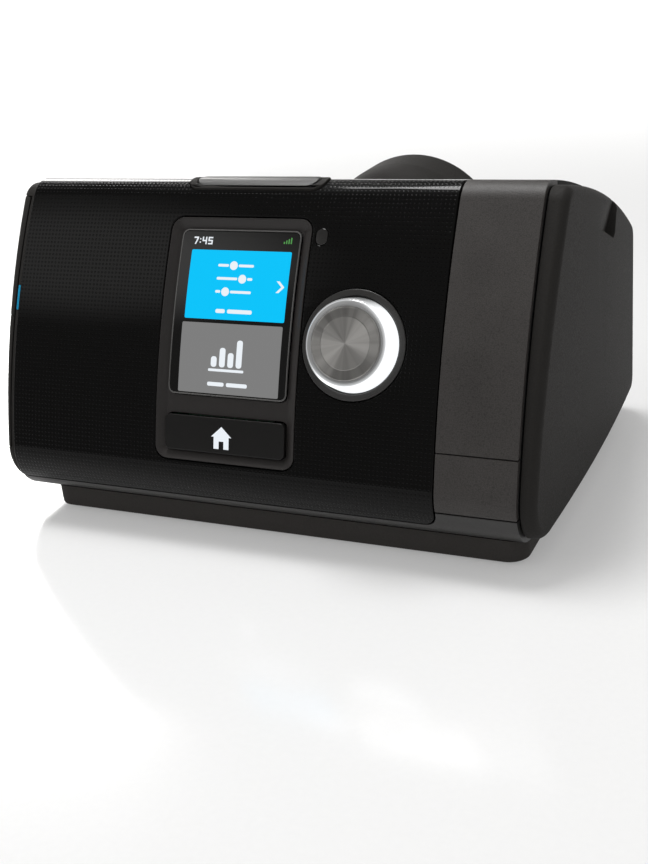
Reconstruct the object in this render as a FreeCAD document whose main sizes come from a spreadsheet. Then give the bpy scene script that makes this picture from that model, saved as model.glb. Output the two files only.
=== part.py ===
import FreeCAD, Part
import math
import os
import Sketcher
from FreeCAD import Vector

# Bedside breathing machine with a slide-out heated water tub.
# X runs to the right along the front, Y towards the rear, Z up.
# The origin is under the middle of the body, on the surface that it stands on.

doc = FreeCAD.newDocument("breathing_machine")

# ---------------------------------------------------------------- driving dimensions (mm, degrees)
SIZES = {
    # side profile of the body: sharp corners, bows of the faces and corner roundings
    "base_level": 7.5,
    "nose_depth": 79.24,
    "crest_depth": 31.8,
    "crest_level": 116.6,
    "rear_depth": 70,
    "shoulder_level": 76.5,
    "front_bow": 270,
    "top_bow": 330,
    "nose_round": 16.5,
    "crest_round": 9,
    "rear_round": 9,
    "heel_round": 8,
    # widths along X
    "overall_width": 205,
    "cover_bulge": 2.25,
    "cover_edge": 4.5,
    "cover_inset": 1.5,
    "cover_edge_round": 3.2,
    "strip_width": 27.1,
    "tub_gap": 0.6,
    # walls, seams and clearances
    "skin": 2.2,
    "carrier_wall": 2,
    "layer_gap": 0.2,
    "seam": 0.4,
    "key_clearance": 0.35,
    "running_clearance": 0.05,
    "seat_gap": 0.3,
    # front panels
    "fascia_foot": 15.3,
    "fascia_rear": 20,
    "fascia_corner": 4.5,
    "badge_top": 40,
    "badge_foot": 21.2,
    "case_split": 30,
    # base
    "plinth_left_inset": 7.25,
    "plinth_right_inset": 0.65,
    "plinth_front": 66,
    "plinth_rear": 61,
    "plinth_round": 7,
    "plinth_rise": 2.4,
    "foot_radius": 6,
    "foot_inset": 24,
    "foot_height": 1,
    "foot_socket": 0.4,
    # screen tray with its window and home key
    "screen_inset": 88,
    "screen_level": 68.9,
    "tray_width": 53.3,
    "tray_height": 83.4,
    "tray_corner": 4.5,
    "tray_border": 1.9,
    "tray_depth": 2,
    "tray_wall": 1.8,
    "window_width": 45.4,
    "window_height": 57,
    "window_rise": 9.4,
    "window_corner": 2.5,
    "lens_thickness": 1.6,
    "display_depth": 4.2,
    "key_width": 46,
    "key_height": 12.2,
    "key_drop": 32.2,
    "key_corner": 2,
    "key_thickness": 3,
    "key_travel": 0.8,
    "key_stem": 3,
    "switch_side": 6,
    "switch_height": 3.4,
    "switch_rise": 0.6,
    # light sensor
    "sensor_offset": 30.45,
    "sensor_level": 100.5,
    "sensor_width": 4.2,
    "sensor_height": 5.6,
    # dial
    "dial_inset": 29.95,
    "dial_level": 69.9,
    "dial_ring_radius": 18,
    "dial_ring_wall": 2.1,
    "dial_ring_depth": 2.4,
    "dial_ring_floor": 1.4,
    "dial_foot_radius": 15.4,
    "dial_top_radius": 14.4,
    "dial_height": 6.2,
    "dial_rim_round": 2,
    "dial_face_radius": 12,
    "dial_face_height": 0.6,
    "dial_disc_radius": 8.2,
    "dial_travel": 0.8,
    "shaft_radius": 3,
    "shaft_tip_radius": 1.5,
    "shaft_tip_length": 1.4,
    "plunger_radius": 4.2,
    "plunger_height": 1.8,
    "encoder_side": 13,
    "encoder_depth": 8,
    "encoder_wall": 3.5,
    # start button on the crest
    "start_offset": 2.3,
    "start_length": 46,
    "start_width": 8.4,
    "start_travel": 0.8,
    "start_proud": 0.8,
    "start_depth": 1.8,
    "start_tilt": 20,
    "start_setback": 2.3,
    "surround_length": 52,
    "surround_width": 10.4,
    "surround_corner": 4.5,
    "surround_proud": 0.6,
    # water tub and its bay
    "drive_width": 103.9,
    "bay_depth": 96,
    "bay_height": 55.5,
    "bay_rear_space": 18,
    "bay_floor_space": 5.4,
    "bay_wall": 1.6,
    "bay_corner": 8,
    "tub_clearance": 0.5,
    "tub_wall": 1.8,
    "lid_height": 24,
    "seal_height": 1.6,
    "seal_width": 2.4,
    "port_radius": 8.5,
    "port_forward": 24,
    "port_apart": 40,
    "port_drop": 12,
    # heater
    "heater_length": 60,
    "heater_depth": 64,
    "heater_thickness": 1.6,
    "heater_corner": 6,
    "spring_radius": 2.5,
    "insulator_thickness": 1.2,
    # blower
    "blower_inset": 45.75,
    "blower_y": 8,
    "blower_foot": 15,
    "volute_radius": 35,
    "volute_wall": 2,
    "volute_height": 26,
    "inlet_radius": 12,
    "impeller_radius": 25,
    "impeller_gap": 1.2,
    "impeller_disc": 1.4,
    "blade_height": 7,
    "blade_lean": 7.5,
    "blade_root": 4.5,
    "blade_tip": 23.2,
    "blade_thickness": 1.1,
    "hub_radius": 5,
    "motor_shaft_radius": 1.5,
    "bearing_radius": 4,
    "bearing_height": 2.6,
    "rotor_radius": 7,
    "stator_radius": 16,
    "stator_height": 7,
    "air_gap": 0.5,
    "motor_cap": 1.6,
    "blade_count": 11,
    "cradle_width": 6,
    "cradle_inset": 3,
    "duct_radius": 8,
    "duct_wall": 1.5,
    # muffler
    "muffler_height": 15,
    "muffler_wall": 1.6,
    "muffler_length": 72,
    "muffler_depth": 76,
    "foam_thickness": 5,
    # outlet
    "outlet_offset": 9.35,
    "outlet_level": 88.5,
    "outlet_radius": 11,
    "outlet_bore": 8.5,
    "outlet_neck": 10.3,
    "outlet_reach": 75,
    "outlet_relief": 2.5,
    "hump_radius": 34,
    "hump_axis_level": 71.4,
    "hump_front": 26,
    "hump_rear": 60,
    "hump_round": 15,
    "hump_rear_round": 5,
    "hump_wall": 2.4,
    "plenum_wall": 1.6,
    "plenum_half_depth": 10,
    "plenum_width": 18.4,
    "gallery_height": 7,
    "gallery_rear": 56,
    "outlet_leg_y": 44,
    # electronics
    "board_length": 84,
    "board_height": 66,
    "board_thickness": 1.6,
    "board_depth": 11.6,
    "board_shift": -28,
    "chip_height": 1.8,
    "chip_side": 9,
    "radio_height": 10.8,
    # rear
    "filter_inset": 34.75,
    "filter_level": 48,
    "filter_width": 52,
    "filter_height": 30,
    "filter_corner": 2,
    "filter_thickness": 5,
    "louvre_count": 7,
    "louvre_height": 1.6,
    "louvre_pitch": 3,
    "hinge_radius": 1.2,
    "hinge_pin_radius": 0.6,
    "hinge_room": 1,
    "inlet_offset": 6.15,
    "inlet_level": 40,
    "inlet_width": 14,
    "inlet_height": 10,
    "inlet_depth": 14,
    "inlet_pocket": 10,
    "jack_radius": 3.4,
    "jack_pin_radius": 1.2,
    "clip_width": 10,
    "clip_height": 13,
    "clip_thickness": 2,
    # left side
    "card_door_top": 110.2,
    "door_split": 71.9,
    "adapter_door_foot": 26.6,
    "door_rear": 16,
    "door_thickness": 2,
    "card_width": 24,
    "card_length": 32,
    "card_thickness": 2.1,
    "card_level": 89,
    "card_depth": 29,
    "card_room": 2,
    "adapter_level": 49,
    "adapter_depth": 46,
    "adapter_width": 14,
    "adapter_height": 18,
    # finger notch in the tub cover, deepest at its lower rear corner
    "notch_y": 14.6,
    "notch_level": 87.9,
    "notch_length": 27.5,
    "notch_corner": 3,
    "notch_depth": 4.2,
    "notch_turn": 23,
    "notch_lean": 13,
    # screws
    "screw_radius": 1.4,
    "screw_head_radius": 2.8,
    "screw_head_height": 1.8,
    "screw_length": 10,
    "boss_radius": 3.4,
    "boss_height": 5,
    "boss_inset": 9,
    "boss_y": 40,
    "screw_sink": 0.4,
    "plinth_wall": 2,
    "post_root": 5,
    "post_bore": 5,
    "board_margin": 4,
    "pin_seat": 1.5,
    "clip_ear": 2.4,
    "clip_hinge_drop": 2.6,
    "skirt_wall": 2,
    "strip_thickness": 1.2,
    "strip_lap": 2,
    "crest_fall": 3.8,
}
dim = doc.addObject("Spreadsheet::Sheet", "dim")
for row, (alias, value) in enumerate(SIZES.items(), start=1):
    dim.set(f"A{row}", alias)
    dim.set(f"B{row}", str(value))
    dim.setAlias(f"B{row}", alias)
doc.recompute()

# ---------------------------------------------------------------- places that follow from the dimensions
loc = doc.addObject("App::VarSet", "loc")
PLACES = {
    # stations along X
    "right_end": "dim.overall_width / 2",
    "left_end": "-dim.overall_width / 2",
    "body_left": "loc.left_end + dim.cover_bulge + dim.cover_edge",
    "tub_cover_left": "loc.right_end - dim.cover_bulge - dim.cover_edge",
    "body_right": "loc.tub_cover_left - dim.tub_gap",
    "strip_left": "loc.body_right - dim.strip_width",
    "screen_x": "loc.body_left + dim.screen_inset",
    "start_x": "loc.screen_x + dim.start_offset",
    "sensor_x": "loc.screen_x + dim.sensor_offset",
    "dial_x": "loc.strip_left - dim.dial_inset",
    "blower_x": "loc.body_left + dim.blower_inset",
    "filter_x": "loc.body_left + dim.filter_inset",
    "plinth_left": "loc.body_left + dim.plinth_left_inset",
    "plinth_right": "loc.body_right - dim.plinth_right_inset",
    # centre of the front bow, and of the top bow
    "front_chord": "sqrt((dim.nose_depth - dim.crest_depth)^2 + (dim.crest_level - dim.base_level)^2)",
    "front_offset": "sqrt(dim.front_bow^2 - loc.front_chord^2 / 4) / loc.front_chord",
    "front_y": "-(dim.nose_depth + dim.crest_depth) / 2"
               " + (dim.crest_level - dim.base_level) * loc.front_offset",
    "front_z": "(dim.base_level + dim.crest_level) / 2"
               " - (dim.nose_depth - dim.crest_depth) * loc.front_offset",
    "screen_slope": "sqrt(1 - ((dim.screen_level - loc.front_z) / dim.front_bow)^2)",
    # inside of the body
    "floor": "dim.base_level + dim.skin",
    "carrier_back": "dim.skin + dim.layer_gap + dim.carrier_wall",
    # bay and tub
    "bay_left": "loc.body_left + dim.drive_width",
    "outlet_x": "loc.bay_left + dim.outlet_offset",
    "inlet_x": "loc.bay_left - dim.inlet_offset",
    "bay_rear": "dim.rear_depth - dim.bay_rear_space",
    "bay_front": "loc.bay_rear - dim.bay_depth",
    "bay_floor": "loc.floor + dim.bay_floor_space",
    "bay_top": "loc.bay_floor + dim.bay_height",
    "tub_left": "loc.bay_left + dim.bay_wall + dim.tub_clearance",
    "tub_front": "loc.bay_front + dim.bay_wall + dim.tub_clearance",
    "tub_rear": "loc.bay_rear - dim.bay_wall - dim.tub_clearance",
    "tub_foot": "loc.bay_floor + dim.bay_wall + dim.tub_clearance",
    "tub_top": "loc.bay_top - dim.bay_wall - dim.tub_clearance",
    "lid_foot": "loc.tub_top - dim.lid_height",
    "tub_corner": "dim.bay_corner - dim.bay_wall - dim.tub_clearance",
    "tub_middle_x": "(loc.tub_left + loc.body_right) / 2",
    "tub_middle_y": "(loc.tub_front + loc.tub_rear) / 2",
    "port_level": "loc.tub_top - dim.port_drop",
    # bulged ends
    "dome_half": "(dim.rear_depth + dim.nose_depth) / 2",
    "dome_y": "(dim.rear_depth - dim.nose_depth) / 2",
    "dome_radius": "(loc.dome_half^2 + dim.cover_bulge^2) / (2 * dim.cover_bulge)",
    "door_hinge_x": "loc.left_end + dim.hinge_radius + dim.layer_gap",
    # display, key and dial, as depths behind the front face
    "display_sag": "dim.window_height^2 / (8 * dim.front_bow)",
    "display_front": "dim.tray_depth + dim.lens_thickness / 2 + loc.display_sag + dim.layer_gap",
    "switch_front": "dim.board_depth - dim.switch_height",
    "key_stem_end": "loc.switch_front - dim.key_travel - dim.seat_gap",
    "encoder_front": "dim.dial_ring_depth + dim.dial_ring_floor + dim.seat_gap",
    "plunger_front": "loc.encoder_front + dim.encoder_wall",
    "shaft_end": "loc.plunger_front - dim.seat_gap",
    # start switch, as heights over the sharp crest
    "dome_foot": "-dim.crest_fall - loc.carrier_back - dim.seat_gap - dim.strip_thickness / 2",
    "dome_top": "-dim.crest_fall - dim.start_depth - dim.start_travel - dim.seat_gap",
    # blower stack, as levels
    "volute_mid": "dim.blower_foot + dim.volute_height / 2",
    "volute_top": "dim.blower_foot + dim.volute_height",
    "volute_floor": "dim.blower_foot + dim.volute_wall",
    "bearing_foot": "dim.blower_foot - dim.seam",
    "stator_top": "loc.volute_floor + dim.stator_height",
    "motor_cap_top": "loc.stator_top + dim.motor_cap",
    "impeller_foot": "loc.stator_top + dim.bearing_height + dim.impeller_gap",
    "blade_top": "loc.impeller_foot + dim.impeller_disc + dim.blade_height",
    "muffler_rear": "dim.rear_depth - dim.skin - dim.filter_thickness - dim.seam * 2",
    "muffler_front": "loc.muffler_rear - dim.muffler_depth",
    # ducts between the blower and the bay
    "duct_right": "loc.bay_left",
    "duct_left": "loc.bay_left - dim.plenum_width",
    "gallery_foot": "loc.bay_top + dim.seat_gap",
    "gallery_top": "loc.gallery_foot + dim.gallery_height",
    "card_left": "loc.left_end + dim.cover_bulge + dim.door_thickness + dim.seam * 2",
    "cable_front": "loc.display_front + dim.display_depth + dim.layer_gap * 2",
    "cable_level": "dim.window_rise",
    # rear
    "clip_y": "dim.rear_depth + dim.seat_gap + dim.clip_thickness / 2",
    "clip_hinge_level": "dim.inlet_level - dim.inlet_height / 2 - dim.clip_hinge_drop",
    "filter_hinge_y": "dim.rear_depth - dim.hinge_radius",
    "filter_hinge_level": "dim.filter_level - dim.filter_height / 2 + dim.seam + dim.hinge_radius",
    "inlet_port_y": "loc.bay_rear - dim.port_forward",
    "outlet_port_y": "loc.inlet_port_y - dim.port_apart",
}


def name_place(name, expression):
    """Name a coordinate that follows the driving dimensions."""
    loc.addProperty("App::PropertyFloat", name, "Places")
    loc.setExpression(name, expression)
    doc.recompute()


for place_name, place_expression in PLACES.items():
    name_place(place_name, place_expression)


def name_placement(name, expression):
    """Name the placement that an expression gives."""
    loc.addProperty("App::PropertyPlacement", name, "Frames")
    loc.setExpression(name, expression)
    doc.recompute()


def name_frame(name, x, y, z, tilt):
    """Name a frame at a point, turned about X by the tilt."""
    name_placement(name, f"placement(vector({x}; {y}; {z}); rotation(vector(1; 0; 0); {tilt}))")


def front_frame_at(name, x, level):
    """Name a frame on the front face at a level: its -Y points out of the face, its Z runs up the face."""
    y = f"loc.front_y - sqrt(dim.front_bow^2 - ({level} - loc.front_z)^2)"
    name_frame(name, x, y, level, f"-asin(({level} - loc.front_z) / dim.front_bow)")


front_frame_at("screen_frame", "loc.screen_x", "dim.screen_level")
front_frame_at("display_frame", "loc.screen_x", "dim.screen_level + dim.window_rise * loc.screen_slope")
front_frame_at("dial_frame", "loc.dial_x", "dim.dial_level")
front_frame_at("sensor_frame", "loc.sensor_x", "dim.sensor_level")
name_frame("notch_frame", "0", "dim.notch_y", "dim.notch_level", "-dim.notch_turn")
name_placement("notch_seat", "loc.notch_frame * placement(vector(loc.right_end - dim.notch_depth;"
               " dim.notch_length / 2; 0); rotation(vector(0; 1; 1); dim.notch_lean))")
name_frame("start_frame", "loc.start_x", "-dim.crest_depth + dim.start_setback * cos(dim.start_tilt)",
           "dim.crest_level + dim.start_setback * sin(dim.start_tilt)", "dim.start_tilt")


# lengths by which cutting shapes run on: well clear of the body, through the crest, and just past a face
BEYOND = "20"
CREST_REACH = "16"
PAST = "1"
# corner radius of a fully rounded outline, as a share of its width
FULL_ROUND = "0.49"
# distance at which two places count as one
TOUCH = 0.01


# ---------------------------------------------------------------- building blocks
def value_of(expression):
    """Number that an expression has now."""
    return float(loc.evalExpression(str(expression)))


def named(kind, name):
    """New object of the document."""
    return doc.addObject(kind, name)


def span_length(span):
    """Expression for the length of a span."""
    return f"({span[1]}) - ({span[0]})"


def into_frame(thing, frame):
    """Put an object that is drawn about the origin into a named frame."""
    if frame:
        thing.setExpression("Placement", f"loc.{frame}")
    return thing


def offset_placement(x, y, z, turn, frame):
    """Expression for a placement at x, y, z with a turn, inside a named frame."""
    place_here = f"placement(vector({x}; {y}; {z}); {turn})"
    return f"loc.{frame} * {place_here}" if frame else place_here


NO_TURN = "rotation(vector(0; 0; 1); 0)"
TURN_TO = {
    "X": "rotation(vector(0; 1; 0); 90)",
    "Y": "rotation(vector(1; 0; 0); -90)",
    "Z": NO_TURN,
}


def block(name, x, y, z, frame=None):
    """Square-edged block between three spans."""
    box = named("Part::Box", name)
    for side, span in (("Length", x), ("Width", y), ("Height", z)):
        box.setExpression(side, span_length(span))
    box.setExpression("Placement", offset_placement(x[0], y[0], z[0], NO_TURN, frame))
    return box


def rod(name, axis, centre, radius, span, frame=None, top_radius=None):
    """Cylinder, or cone where it has a top radius, along an axis; centre gives the two other coordinates."""
    kind = "Part::Cone" if top_radius else "Part::Cylinder"
    bar = named(kind, name)
    if top_radius:
        bar.setExpression("Radius1", radius)
        bar.setExpression("Radius2", top_radius)
    else:
        bar.setExpression("Radius", radius)
    bar.setExpression("Height", span_length(span))
    here = list(centre)
    here.insert("XYZ".index(axis), span[0])
    bar.setExpression("Placement", offset_placement(*here, TURN_TO[axis], frame))
    return bar


def cut(name, base, *tools):
    """Base without the tools."""
    if len(tools) > 1:
        tool = named("Part::MultiFuse", name + "_tools")
        tool.Shapes = list(tools)
    else:
        tool = tools[0]
    result = named("Part::Cut", name)
    result.Base = base
    result.Tool = tool
    return result


def fuse(name, *parts):
    """One solid from several that meet."""
    result = named("Part::MultiFuse", name)
    result.Shapes = list(parts)
    result.Refine = True
    return result


def common(name, *parts):
    """What all the solids share."""
    result = named("Part::MultiCommon", name)
    result.Shapes = list(parts)
    return result


def group(name, *parts):
    """Several separate solids that make one entry."""
    result = named("Part::Compound", name)
    result.Links = list(parts)
    return result


def pin_value(sketch, number, name, expression):
    """Name a constraint and tie it to an expression."""
    sketch.renameConstraint(number, name)
    sketch.setExpression(f"Constraints.{name}", expression)


def rounded_sketch(sketch, u, v, corner):
    """Rectangle with round corners between two spans."""
    left, right = value_of(u[0]), value_of(u[1])
    foot, top = value_of(v[0]), value_of(v[1])
    radius = value_of(corner)
    centres = ((right - radius, foot + radius), (right - radius, top - radius),
               (left + radius, top - radius), (left + radius, foot + radius))
    arcs = []
    for quarter, (cu, cv) in enumerate(centres):
        circle = Part.Circle(Vector(cu, cv, 0), Vector(0, 0, 1), radius)
        start = math.radians(90 * quarter - 90)
        arcs.append(sketch.addGeometry(Part.ArcOfCircle(circle, start, start + math.pi / 2)))
    sides = []
    for number, arc in enumerate(arcs):
        after = arcs[(number + 1) % 4]
        line = Part.LineSegment(sketch.Geometry[arc].EndPoint, sketch.Geometry[after].StartPoint)
        side = sketch.addGeometry(line)
        sides.append(side)
        sketch.addConstraint(Sketcher.Constraint("Tangent", arc, 2, side, 1))
        sketch.addConstraint(Sketcher.Constraint("Tangent", side, 2, after, 1))
        sketch.addConstraint(Sketcher.Constraint("Vertical" if number % 2 == 0 else "Horizontal", side))
    for arc in arcs[1:]:
        sketch.addConstraint(Sketcher.Constraint("Equal", arcs[0], arc))
    limits = (("corner", "Radius", (arcs[0],), radius, corner),
              ("right", "DistanceX", (-1, 1, sides[0], 1), right, u[1]),
              ("top", "DistanceY", (-1, 1, sides[1], 1), top, v[1]),
              ("left", "DistanceX", (-1, 1, sides[2], 1), left, u[0]),
              ("foot", "DistanceY", (-1, 1, sides[3], 1), foot, v[0]))
    for name, kind, where, number, expression in limits:
        pin_value(sketch, sketch.addConstraint(Sketcher.Constraint(kind, *where, number)), name, expression)


def polygon_sketch(sketch, points):
    """Closed outline of straight sides through points given as pairs of expressions."""
    corners = [Vector(value_of(u), value_of(v), 0) for u, v in points]
    count = len(corners)
    lines = [sketch.addGeometry(Part.LineSegment(corners[i], corners[(i + 1) % count])) for i in range(count)]
    for i, line in enumerate(lines):
        sketch.addConstraint(Sketcher.Constraint("Coincident", line, 2, lines[(i + 1) % count], 1))
    for i, (line, (u, v)) in enumerate(zip(lines, points)):
        across = sketch.addConstraint(Sketcher.Constraint("DistanceX", -1, 1, line, 1, corners[i].x))
        pin_value(sketch, across, f"u{i}", u)
        upward = sketch.addConstraint(Sketcher.Constraint("DistanceY", -1, 1, line, 1, corners[i].y))
        pin_value(sketch, upward, f"v{i}", v)


PLANES = {
    "XY": (FreeCAD.Rotation(), Vector(0, 0, 1)),
    "XZ": (FreeCAD.Rotation(Vector(1, 0, 0), 90), Vector(0, 1, 0)),
    "YZ": (FreeCAD.Rotation(Vector(1, 1, 1), 120), Vector(1, 0, 0)),
}


def slab(name, plane, u, v, w, corner, frame=None):
    """Plate with round corners: u and v span its face, w its thickness along the plane's third axis."""
    turn, direction = PLANES[plane]
    sketch = named("Sketcher::SketchObject", name + "_outline")
    sketch.Placement = FreeCAD.Placement(Vector(), turn)
    rounded_sketch(sketch, u, v, corner)
    plate = named("Part::Extrusion", name)
    plate.Base = sketch
    plate.DirMode = "Custom"
    plate.Dir = direction
    plate.Solid = True
    plate.setExpression("LengthFwd", w[1])
    plate.setExpression("LengthRev", f"-({w[0]})")
    return into_frame(plate, frame)


def around(centre, half):
    """Span that reaches half a width each way from a centre."""
    return f"{centre} - ({half})", f"{centre} + ({half})"


pieces = {}
hinge_pins = []
machine_screws = []


def piece(name, shape):
    """Register a finished piece under the name of its file."""
    shape.Label = name
    pieces[name] = shape
    return shape


# ---------------------------------------------------------------- side profile and its insets
def bow(start, end, radius):
    """Arc between two corners of the outline that bulges to the left of the way from start to end."""
    chord = end.sub(start)
    inward = Vector(chord.y, -chord.x, 0).normalize()
    centre = (start + end) * 0.5 + inward * math.sqrt(radius ** 2 - chord.Length ** 2 / 4)
    circle = Part.Circle(centre, Vector(0, 0, 1), radius)
    first = math.atan2(end.y - centre.y, end.x - centre.x)
    last = math.atan2(start.y - centre.y, start.x - centre.x)
    return Part.ArcOfCircle(circle, first, last)


def rounded_rim(name, base, edge_radius, size):
    """Solid of revolution with one of its round edges, found by its radius, rounded off."""
    doc.recompute()
    rounded = named("Part::Fillet", name)
    rounded.Base = base
    radius = value_of(size)
    rim = value_of(edge_radius)
    rounded.Edges = [(number, radius, radius) for number, edge in enumerate(base.Shape.Edges, start=1)
                     if isinstance(edge.Curve, Part.Circle) and abs(edge.Curve.Radius - rim) < TOUCH]
    return rounded


def near_corner(side, corner, distance):
    """Point of a side at a distance from one of its ends."""
    from_start = side.StartPoint.distanceToPoint(corner) < TOUCH
    edge = side.toShape()
    return edge.valueAt(edge.getParameterByLength(distance if from_start else edge.Length - distance))


def side_profile():
    """Closed outline of the body seen from its right side: bowed front and top, straight rear and base."""
    sketch = named("Sketcher::SketchObject", "side_profile")
    nose = Vector(-dim.nose_depth, dim.base_level, 0)
    crest = Vector(-dim.crest_depth, dim.crest_level, 0)
    shoulder = Vector(dim.rear_depth, dim.shoulder_level, 0)
    heel = Vector(dim.rear_depth, dim.base_level, 0)
    front = sketch.addGeometry(bow(nose, crest, dim.front_bow))
    top = sketch.addGeometry(bow(crest, shoulder, dim.top_bow))
    rear = sketch.addGeometry(Part.LineSegment(shoulder, heel))
    base = sketch.addGeometry(Part.LineSegment(heel, nose))
    for first, end_a, second, end_b in ((front, 1, top, 2), (top, 1, rear, 1), (rear, 2, base, 1),
                                        (base, 2, front, 2)):
        sketch.addConstraint(Sketcher.Constraint("Coincident", first, end_a, second, end_b))
    sketch.addConstraint(Sketcher.Constraint("Horizontal", base))
    sketch.addConstraint(Sketcher.Constraint("Vertical", rear))
    for side, size in ((front, "front_bow"), (top, "top_bow")):
        radius = sketch.addConstraint(Sketcher.Constraint("Radius", side, getattr(dim, size)))
        pin_value(sketch, radius, size, f"dim.{size}")
    roundings = ((base, front, nose, "nose_round"), (front, top, crest, "crest_round"),
                 (top, rear, shoulder, "rear_round"), (rear, base, heel, "heel_round"))
    for first, second, corner, size in roundings:
        radius = getattr(dim, size)
        touch_first = near_corner(sketch.Geometry[first], corner, radius / 2)
        touch_second = near_corner(sketch.Geometry[second], corner, radius / 2)
        sketch.fillet(first, second, touch_first, touch_second, radius, True, False)
        arc = sketch.GeometryCount - 1
        pin_value(sketch, sketch.addConstraint(Sketcher.Constraint("Radius", arc, radius)), size, f"dim.{size}")
    corners = (("nose", nose, base, front, "-dim.nose_depth", "dim.base_level"),
               ("crest", crest, front, top, "-dim.crest_depth", "dim.crest_level"),
               ("shoulder", shoulder, top, rear, "dim.rear_depth", "dim.shoulder_level"))
    for name, corner, first, second, across, upward in corners:
        point = sketch.addGeometry(Part.Point(corner), True)
        for side in (first, second):
            sketch.addConstraint(Sketcher.Constraint("PointOnObject", point, 1, side))
        for axis, kind, number, expression in (("y", "DistanceX", corner.x, across),
                                               ("z", "DistanceY", corner.y, upward)):
            constraint = sketch.addConstraint(Sketcher.Constraint(kind, -1, 1, point, 1, number))
            pin_value(sketch, constraint, f"{name}_{axis}", expression)
    sketch.Placement = FreeCAD.Placement(Vector(), PLANES["YZ"][0])
    return sketch


profile = side_profile()
doc.recompute()


def form(name, inset, x):
    """Bar along X whose section is the side profile, moved inwards by the inset."""
    section = profile
    if inset:
        section = named("Part::Offset2D", name + "_section")
        section.Source = profile
        section.Join = "Intersection"
        section.setExpression("Value", f"-({inset})")
    bar = named("Part::Extrusion", name)
    bar.Base = section
    bar.DirMode = "Custom"
    bar.Dir = Vector(1, 0, 0)
    bar.Solid = True
    bar.setExpression("LengthFwd", x[1])
    bar.setExpression("LengthRev", f"-({x[0]})")
    return bar


FULL_X = ("loc.body_left", "loc.body_right")
INNER_X = ("loc.body_left + dim.skin", "loc.body_right - dim.skin")


def skin_layer(name, outer, inner, x=FULL_X):
    """Layer of the body between two insets of its profile."""
    return cut(name, form(name + "_outer", outer, x), form(name + "_inner", inner, x))


FRONTMOST = f"-dim.nose_depth - {BEYOND}"
TOPMOST = f"dim.crest_level + {BEYOND}"
REARMOST = f"dim.rear_depth + {BEYOND}"
LEFTMOST = f"loc.left_end - {BEYOND}"
RIGHTMOST = f"loc.right_end + {BEYOND}"


def grown(span, by):
    """Span made longer by the same amount at both ends."""
    return f"{span[0]} - ({by})", f"{span[1]} + ({by})"


def plate_of_skin(name, outer, inner, outline):
    """Part of a skin layer that lies inside an outline's prism."""
    return common(name, skin_layer(name + "_layer", outer, inner), outline)


# ---------------------------------------------------------------- outlines shared by mating pieces
def tray_outline(name, grow="0"):
    """Prism of the screen tray's outline."""
    u = around("0", f"dim.tray_width / 2 + {grow}")
    v = around("0", f"dim.tray_height / 2 + {grow}")
    return slab(name, "XZ", u, v, around("0", BEYOND), f"dim.tray_corner + {grow}", "screen_frame")


def window_outline(name, grow="0"):
    """Prism of the window in the tray that shows the display."""
    u = around("0", f"dim.window_width / 2 + {grow}")
    v = around("dim.window_rise", f"dim.window_height / 2 + {grow}")
    return slab(name, "XZ", u, v, around("0", BEYOND), f"dim.window_corner + {grow}", "screen_frame")


def key_outline(name, grow="0"):
    """Prism of the home key."""
    u = around("0", f"dim.key_width / 2 + {grow}")
    v = around("-dim.key_drop", f"dim.key_height / 2 + {grow}")
    return slab(name, "XZ", u, v, around("0", BEYOND), f"dim.key_corner + {grow}", "screen_frame")


def sensor_outline(name, grow="0"):
    """Prism of the light sensor's oval lens."""
    u = around("0", f"dim.sensor_width / 2 + {grow}")
    v = around("0", f"dim.sensor_height / 2 + {grow}")
    corner = f"dim.sensor_width * {FULL_ROUND} + {grow}"
    return slab(name, "XZ", u, v, around("0", BEYOND), corner, "sensor_frame")


def dial_hole(name, grow):
    """Round hole for the dial's ring."""
    return rod(name, "Y", ("0", "0"), f"dim.dial_ring_radius + {grow}", around("0", BEYOND), "dial_frame")


def surround_outline(name, grow="0"):
    """Prism of the frame around the start button."""
    u = around("0", f"dim.surround_length / 2 + {grow}")
    v = around("0", f"dim.surround_width / 2 + {grow}")
    return slab(name, "XY", u, v, around("0", CREST_REACH), f"dim.surround_corner + {grow}", "start_frame")


def start_outline(name, grow="0"):
    """Prism of the start button."""
    u = around("0", f"dim.start_length / 2 + {grow}")
    v = around("0", f"dim.start_width / 2 + {grow}")
    corner = f"dim.start_width * {FULL_ROUND} + {grow}"
    return slab(name, "XY", u, v, around("0", CREST_REACH), corner, "start_frame")


def tub_mouth(name):
    """Hole in the right end wall that the tub slides through."""
    y = grown(("loc.bay_front", "loc.bay_rear"), "-dim.bay_wall")
    z = grown(("loc.bay_floor", "loc.bay_top"), "-dim.bay_wall")
    return slab(name, "YZ", y, z, ("loc.body_right - dim.skin * 2", RIGHTMOST), "dim.bay_corner - dim.bay_wall")


def card_window(name):
    """Hole in the left wall for the memory card and a finger."""
    y = around("-dim.card_depth", "dim.card_thickness + dim.card_room")
    z = around("dim.card_level", "dim.card_width / 2 + dim.card_room / 2")
    return block(name, (LEFTMOST, "loc.body_left + dim.skin"), y, z)


def adapter_window(name):
    """Hole in the left wall for the adapter connector."""
    y = around("-dim.adapter_depth", "dim.adapter_width / 2 + dim.layer_gap")
    z = around("dim.adapter_level", "dim.adapter_height / 2 + dim.layer_gap")
    return block(name, (LEFTMOST, "loc.body_left + dim.skin"), y, z)


def fascia_region(name, grow="0"):
    """Prism in front of the fascia's rear edge, left of the strip, with the fascia's round lower corner."""
    x = (f"loc.body_left - {BEYOND}", f"loc.strip_left - dim.seam / 2 + {grow}")
    z = (f"dim.fascia_foot - ({grow})", TOPMOST)
    return slab(name, "XZ", x, z, (FRONTMOST, f"-dim.fascia_rear + {grow}"), f"dim.fascia_corner + {grow}")


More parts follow.
